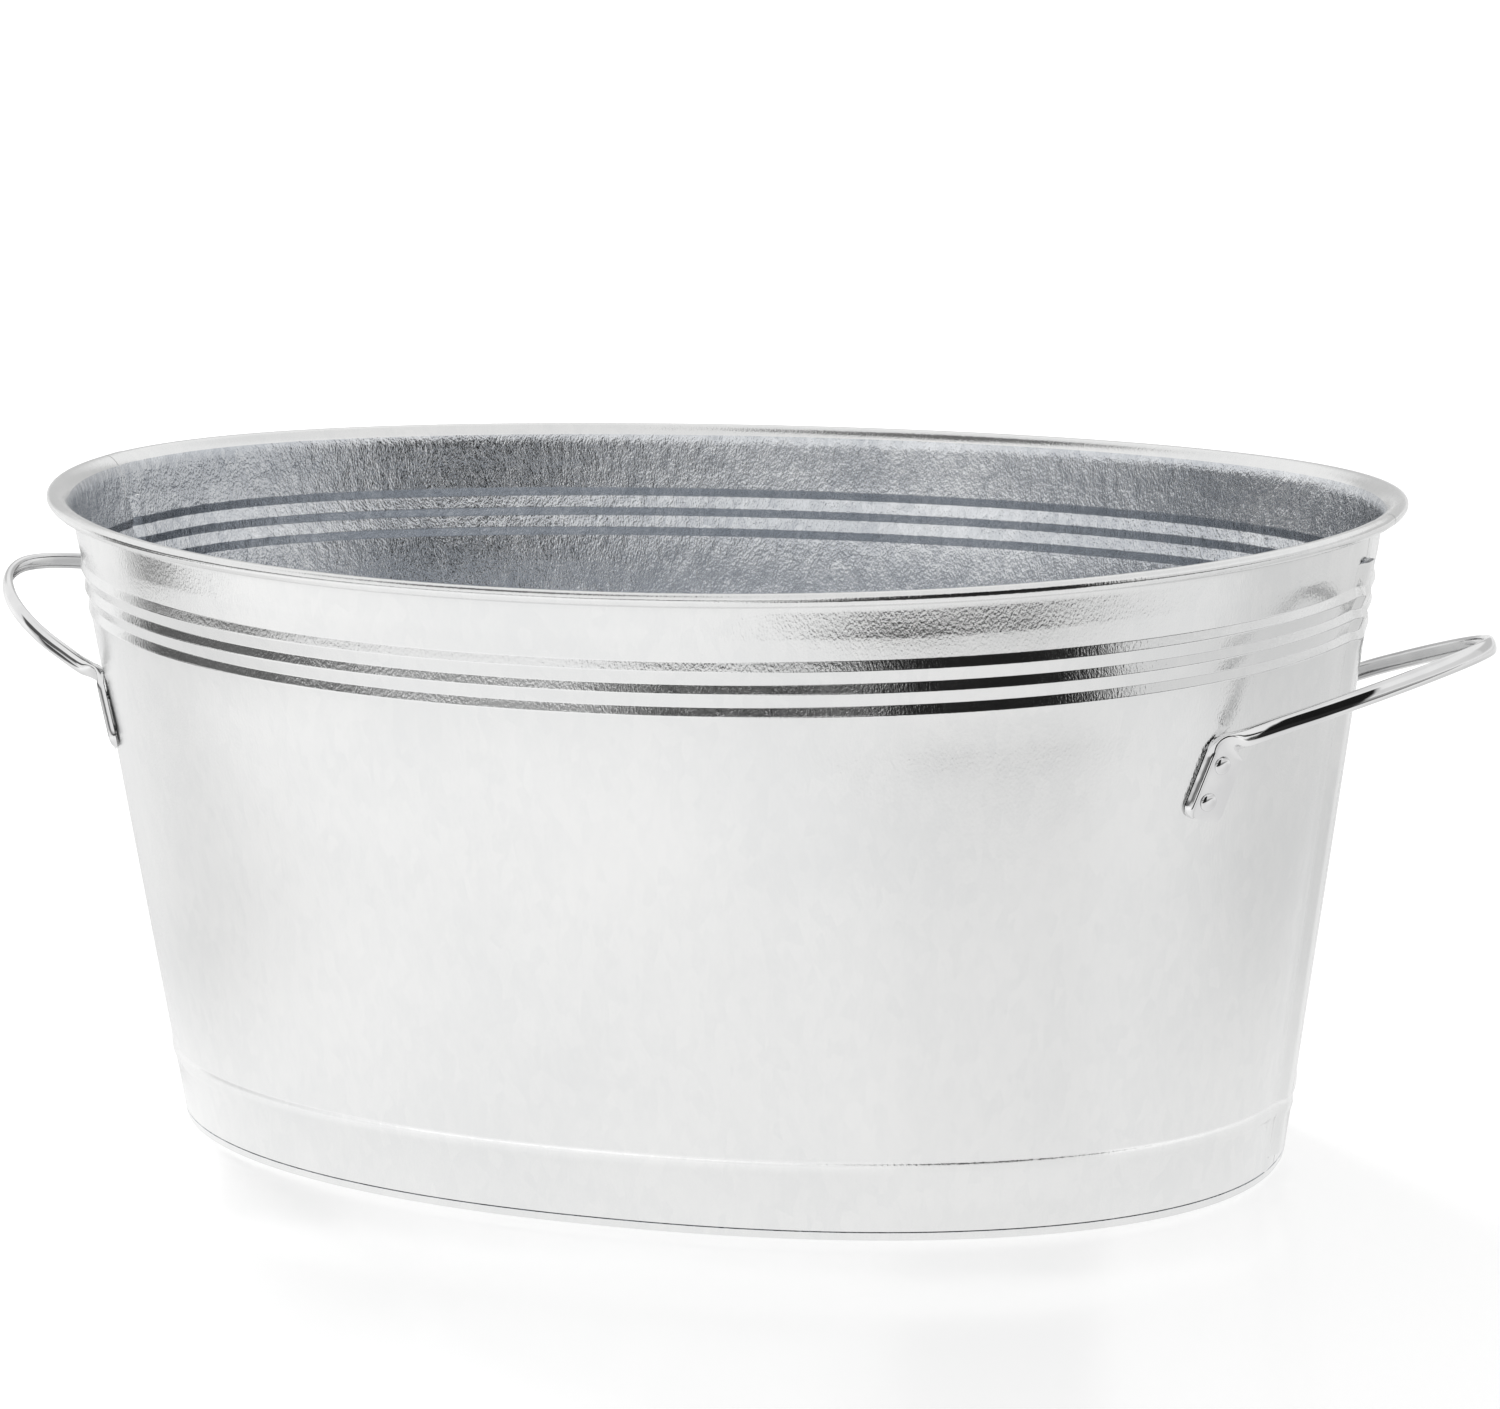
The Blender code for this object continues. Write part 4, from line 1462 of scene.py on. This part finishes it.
class LoopPath:
    """Plane and outline of one handle's loop, strung between its two roots."""

    def __init__(self, handle: Handle, first: EarPlace, last: EarPlace) -> None:
        """Lay the loop's plane.

        Args:
            handle: The handle's sizes.
            first: The ear where the loop starts.
            last: The ear where it ends.
        """
        self.handle = handle
        start, end = self._root(first), self._root(last)
        self.middle = start.lerp(end, 0.5)
        self.half_width = (end - start).length / 2
        self.chord = (end - start).normalized()
        outward = Vector((self.middle.x, self.middle.y, 0.0))
        outward = (outward - self.chord * outward.dot(self.chord)).normalized()
        upward = Vector((0.0, 0.0, 1.0))
        upward = upward - self.chord * upward.dot(self.chord) - outward * upward.dot(outward)
        upward.normalize()
        tilt = math.radians(handle.tilt)
        self.outward = outward * math.cos(tilt) + upward * math.sin(tilt)
        self.lead = upward * math.cos(tilt) - outward * math.sin(tilt)

    def _root(self, ear: EarPlace) -> Vector:
        """Point where the loop's leg starts, clear of the wall."""
        top = ear.at(self.handle.ear_top)
        return top - ear.down * self.handle.root_rise + ear.normal * self.handle.root_stand_off

    def point(self, turn: float) -> Vector:
        """Point of the loop's middle line.

        Args:
            turn: Turn in degrees, from -90 at the first root to 90 at the last.

        Returns:
            The point.
        """
        angle = math.radians(QUARTER_TURN - abs(turn))
        reach = self.handle.reach * math.sin(angle) ** self.handle.reach_share
        width = self.half_width * math.copysign(math.cos(angle) ** self.handle.width_share, turn)
        return self.middle + self.outward * reach + self.chord * width

    def frame(self, turn: float, step: float) -> tuple[Vector, Vector]:
        """Directions of the loop at a turn.

        Args:
            turn: The turn in degrees.
            step: How far to both sides the outline is compared.

        Returns:
            The ways along the loop and out of it.
        """
        before = self.point(max(turn - step, -QUARTER_TURN))
        after = self.point(min(turn + step, QUARTER_TURN))
        along = (after - before).normalized()
        return along, along.cross(self.lead).normalized()


@dataclass(frozen=True)
class Rivet:
    """Sizes of one rivet, whose grip runs from the wall's inner face to the ear's outer face."""

    head_radius: float = 0.0033
    head_height: float = 0.0013
    shank_radius: float = 0.0017
    tail_radius: float = 0.0026
    tail_height: float = 0.0010
    grip: float = 0.0022


@dataclass
class RivetSetter:
    """Geometry Nodes tree that sets one domed rivet on every seat."""

    rivet: Rivet = Rivet()
    sides: int = 32
    rings: int = 20
    flat_share: float = 0.08
    crisp: float = 40.0

    def build(self, name: str, seats: Sequence[tuple[Vector, Vector]], finish: Material) -> Object:
        """Set the rivets.

        Args:
            name: Name of the piece.
            seats: Points under the heads and the ways that they face.
            finish: Their material.

        Returns:
            All rivets as one mesh.
        """
        data = bpy.data.meshes.new(name + "_seats")
        data.from_pydata([tuple(point) for point, _ in seats], [], [])
        layer = data.attributes.new("facing", "FLOAT_VECTOR", "POINT")
        layer.data.foreach_set("vector", [number for _, way in seats for number in way])
        mesh = self._tree().run(name, data, finish)
        crisp_folds(mesh, self.crisp)
        return add_object(name, mesh)

    def _tree(self) -> SizedTree:
        """Lay out the tree.

        Returns:
            The tree, which starts from a mesh of seats.
        """
        tree = SizedTree("set_rivets", asdict(self.rivet))
        graph, size = tree.graph, tree.given
        under = size["grip"] * -1.0
        head = self._dome(graph, size["head_radius"], size["head_height"], 1.0)
        tail = self._dome(graph, size["tail_radius"], size["tail_height"], -1.0)
        rod = {"Vertices": self.sides, "Radius": size["shank_radius"], "Depth": size["grip"]}
        shank = graph.socket("GeometryNodeMeshCylinder", rod)
        rivet = graph.node("GeometryNodeJoinGeometry")
        for part, rise in ((head, 0.0), (shank, under * 0.5), (tail, under)):
            move = {"Geometry": part, "Translation": graph.vector(0.0, 0.0, rise)}
            graph.feed(rivet.inputs["Geometry"], graph.socket("GeometryNodeTransform", move))
        facing = {"Vector": graph.attribute("facing", "FLOAT_VECTOR")}
        placed = {
            "Points": graph.socket("GeometryNodeMeshToPoints", {"Mesh": tree.geometry}),
            "Instance": rivet.outputs["Geometry"],
            "Rotation": graph.socket("FunctionNodeAlignRotationToVector", facing, axis="Z"),
        }
        tree.close(graph.socket("GeometryNodeInstanceOnPoints", placed))
        return tree

    def _dome(self, graph: Graph, radius: Value, height: Value, way: float) -> Socket:
        """A button with a domed and a nearly flat side.

        Args:
            graph: The tree's graph.
            radius: Radius of the button.
            height: Rise of its dome.
            way: 1 for a dome that points up, -1 for one that points down.

        Returns:
            The button's geometry.
        """
        sphere = {"Segments": self.sides, "Rings": self.rings, "Radius": 1.0}
        ball = graph.socket("GeometryNodeMeshUVSphere", sphere, "Mesh")
        x, y, z = graph.axes(graph.socket("GeometryNodeInputPosition"))
        domed = graph.math("MAXIMUM", z * way, 0.0) * way
        flat = graph.math("MINIMUM", z * way, 0.0) * (way * self.flat_share)
        place = graph.vector(x * radius, y * radius, (domed + flat) * height)
        return graph.socket("GeometryNodeSetPosition", {"Geometry": ball, "Position": place})


# Studio


@dataclass(frozen=True)
class RoomSide:
    """A part of the room round the tub that its metal mirrors darker than white.

    Turns are counted from the front towards the right, and rises from the level floor.
    """

    tone: float
    start: float
    end: float
    low: float
    high: float
    soft: float

    def dim(self, strength: Value | float, turn: Value, rise: Value) -> Value:
        """Carry the room's strength down to this side's tone inside its bounds."""
        mask = turn.between(self.start, self.end, self.soft) * rise.between(self.low, self.high, self.soft)
        return strength + mask * (self.tone - strength)


@dataclass(frozen=True)
class SoftBox:
    """A broad square lamp."""

    name: str
    place: Triple
    aim: Triple
    size: float
    power: float

    def build(self) -> None:
        """Hang the lamp and turn it to its aim."""
        data = bpy.data.lights.new(self.name, "AREA")
        data.shape = "SQUARE"
        data.size = self.size
        data.energy = self.power
        item = add_object(self.name, data)
        item.location = self.place
        way = Vector(self.aim) - Vector(self.place)
        item.rotation_euler = way.to_track_quat("-Z", "Y").to_euler()
        item.visible_glossy = False


@dataclass(frozen=True)
class Viewpoint:
    """Camera at the photograph's viewing angle."""

    target: Triple = (0.006466, 0.0, 0.144782)
    distance: float = 1.628867
    azimuth: float = 19.1345
    elevation: float = 12.9206
    roll: float = -1.0867
    focal_pixels: float = 4385.08
    centre_x: float = 733.03
    centre_y: float = 746.22
    sensor: float = 36.0
    nearest: float = 0.05
    farthest: float = 200.0

    def build(self) -> None:
        """Set up the camera."""
        data = bpy.data.cameras.new("camera")
        data.sensor_width = self.sensor
        data.lens = self.focal_pixels * self.sensor / PHOTO_WIDTH
        data.shift_x = (PHOTO_WIDTH / 2 - self.centre_x) / PHOTO_WIDTH
        data.shift_y = (self.centre_y - PHOTO_HEIGHT / 2) / PHOTO_WIDTH
        data.clip_start = self.nearest
        data.clip_end = self.farthest
        around, up, roll = (math.radians(turn) for turn in (self.azimuth, self.elevation, self.roll))
        back = Vector((math.sin(around) * math.cos(up), -math.cos(around) * math.cos(up), math.sin(up)))
        right = (-back).cross(Vector((0.0, 0.0, 1.0))).normalized()
        above = right.cross(-back)
        rolled_right = right * math.cos(roll) + above * math.sin(roll)
        rolled_above = above * math.cos(roll) - right * math.sin(roll)
        turn = Matrix((rolled_right, rolled_above, back)).transposed().to_4x4()
        item = add_object("camera", data)
        item.matrix_world = Matrix.Translation(Vector(self.target) + back * self.distance) @ turn
        bpy.context.scene.camera = item


@dataclass
class Studio:
    """Floor, lamps, room and camera."""

    floor_half: float = 30.0
    floor_drop: float = 0.0004
    fill_strength: float = 0.62
    mirrored_strength: float = 0.95
    sides: tuple[RoomSide, ...] = (
        RoomSide(0.85, -200.0, 200.0, 50.0, 120.0, 8.0),
        RoomSide(0.62, 128.0, 240.0, 3.0, 24.0, 4.0),
        RoomSide(0.62, -240.0, -128.0, 3.0, 24.0, 4.0),
        RoomSide(0.16, -115.0, -45.0, 56.0, 76.0, 3.0),
        RoomSide(0.76, 58.0, 130.0, 3.0, 24.0, 4.0),
        RoomSide(0.10, -99.5, -78.0, -6.0, 14.0, 2.0),
        RoomSide(0.12, -82.0, -60.0, 0.5, 14.0, 2.0),
        RoomSide(0.10, -64.0, -44.0, 4.0, 13.5, 2.0),
        RoomSide(0.14, -47.0, -12.0, 7.4, 13.0, 3.0),
        RoomSide(0.03, -14.0, 17.0, 5.0, 15.0, 2.5),
        RoomSide(0.012, 17.0, 58.5, -60.0, 40.0, 2.0),
    )
    lamps: tuple[SoftBox, ...] = (
        SoftBox("back_left_lamp", place=(-1.9, 1.9, 2.6), aim=(0.0, 0.0, 0.1), size=1.4, power=60.0),
    )

    def build(self) -> None:
        """Set up everything that isn't part of the tub."""
        bpy.context.scene.view_settings.view_transform = "Standard"
        self._floor()
        for lamp in self.lamps:
            lamp.build()
        self._room()
        Viewpoint().build()
        LOG.info("studio: %d lamps, %d darker sides", len(self.lamps), len(self.sides))

    def _floor(self) -> None:
        """Lay the floor just under the hem."""
        half = self.floor_half
        outline = [(-half, -half), (half, -half), (half, half), (-half, half)]
        data = bpy.data.meshes.new("floor")
        data.from_pydata([(x, y, -self.floor_drop) for x, y in outline], [], [(0, 1, 2, 3)])
        data.materials.append(FloorFinish("pale_floor").material())
        add_object("floor", data)

    def _room(self) -> None:
        """Light the tub evenly, and show the room white to the camera and with its sides to the metal."""
        world = bpy.data.worlds.new("room")
        bpy.context.scene.world = world
        graph = Graph.fresh(world)
        camera, mirror = graph.rays()
        x, y, z = graph.axes(graph.socket("ShaderNodeTexCoord", output="Generated"))
        turn = x.turn_from(y * -1.0)
        rise = z.turn_from((x * x + y * y).root())
        mirrored: Value | float = self.mirrored_strength
        for side in self.sides:
            mirrored = side.dim(mirrored, turn, rise)
        strength = self.fill_strength + mirror * (mirrored - self.fill_strength)
        strength = strength + camera * (1.0 - strength)
        sky = graph.socket("ShaderNodeBackground", {"Color": (1.0, 1.0, 1.0, 1.0), "Strength": strength})
        graph.node("ShaderNodeOutputWorld", {"Surface": sky})


def corners(box: tuple[Vector, Vector]) -> list[list[float]]:
    """A box's two corners as plain lists."""
    return [list(box[0]), list(box[1])]


def main() -> None:
    """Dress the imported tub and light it."""
    logging.basicConfig(level=logging.INFO, format="%(name)s %(message)s")
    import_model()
    wall, sheet = OvalWall(), Sheet()
    zinc = GalvanizedFinish("galvanized_sheet").material()
    # Inside finish: a darker, bluer copy of the zinc that paints the shade inside the tub, with a coarser
    # real frost.
    shaded_inside_zinc = GalvanizedFinish(
        "galvanized_inside_painted_shade",
        bright=(0.84, 0.855, 0.875),
        dull=(0.54, 0.565, 0.60),
        roughness=0.16,
        frost_rise=0.00030,
        crystal_rise=0.00050,
    ).material()
    chrome = ChromedFinish("chromed_strip").material()
    # Darker, rougher copy of the chrome that paints the shade inside the handles' channels.
    shaded_channel_chrome = ChromedFinish(
        "chrome_channel_painted_shade", bright=(0.74, 0.74, 0.74), dull=(0.66, 0.66, 0.665), roughness=0.10
    ).material()
    former = SheetFormer(wall)
    half, pan = BodyHalf(wall, sheet), FloorPan(wall, sheet)
    halves = {
        "body_front": half.build(former, "front_half", 1.0, zinc),
        "body_back": half.build(former, "back_half", -1.0, zinc),
    }
    graph = bpy.context.evaluated_depsgraph_get()
    surface = WallSurface(tuple(BVHTree.FromObject(piece, graph) for piece in halves.values()))
    floor = pan.build(former, "floor_pan", zinc)
    for node, piece in halves.items():
        half.dress(piece, node, shaded_inside_zinc, wall.shoulder_level + half.painted_shade_flare)
    pan.dress(floor, "bottom", shaded_inside_zinc, wall.shoulder_level)
    seats = []
    for handle in (
        Handle(wall, sheet, Side.RIGHT, tilt=20.0, reach=0.0712, front_level=0.1600, back_level=0.1532),
        Handle(wall, sheet, Side.LEFT, tilt=18.0, reach=0.0747, front_level=0.1580, back_level=0.1580),
    ):
        handle.build(handle.side.value + "_grip", surface, chrome, shaded_channel_chrome)
        seats += handle.rivet_seats(surface)
    places = [(side.value, end.value, place) for side in Side for end in End for place in ("upper", "lower")]
    names = [f"rivet_{side}_{end}_{place}" for side, end, place in places]
    fix_to_frame(RivetSetter().build("rivets", seats, chrome), names)
    Studio().build()
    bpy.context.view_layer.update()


if __name__ == "__main__":
    main()
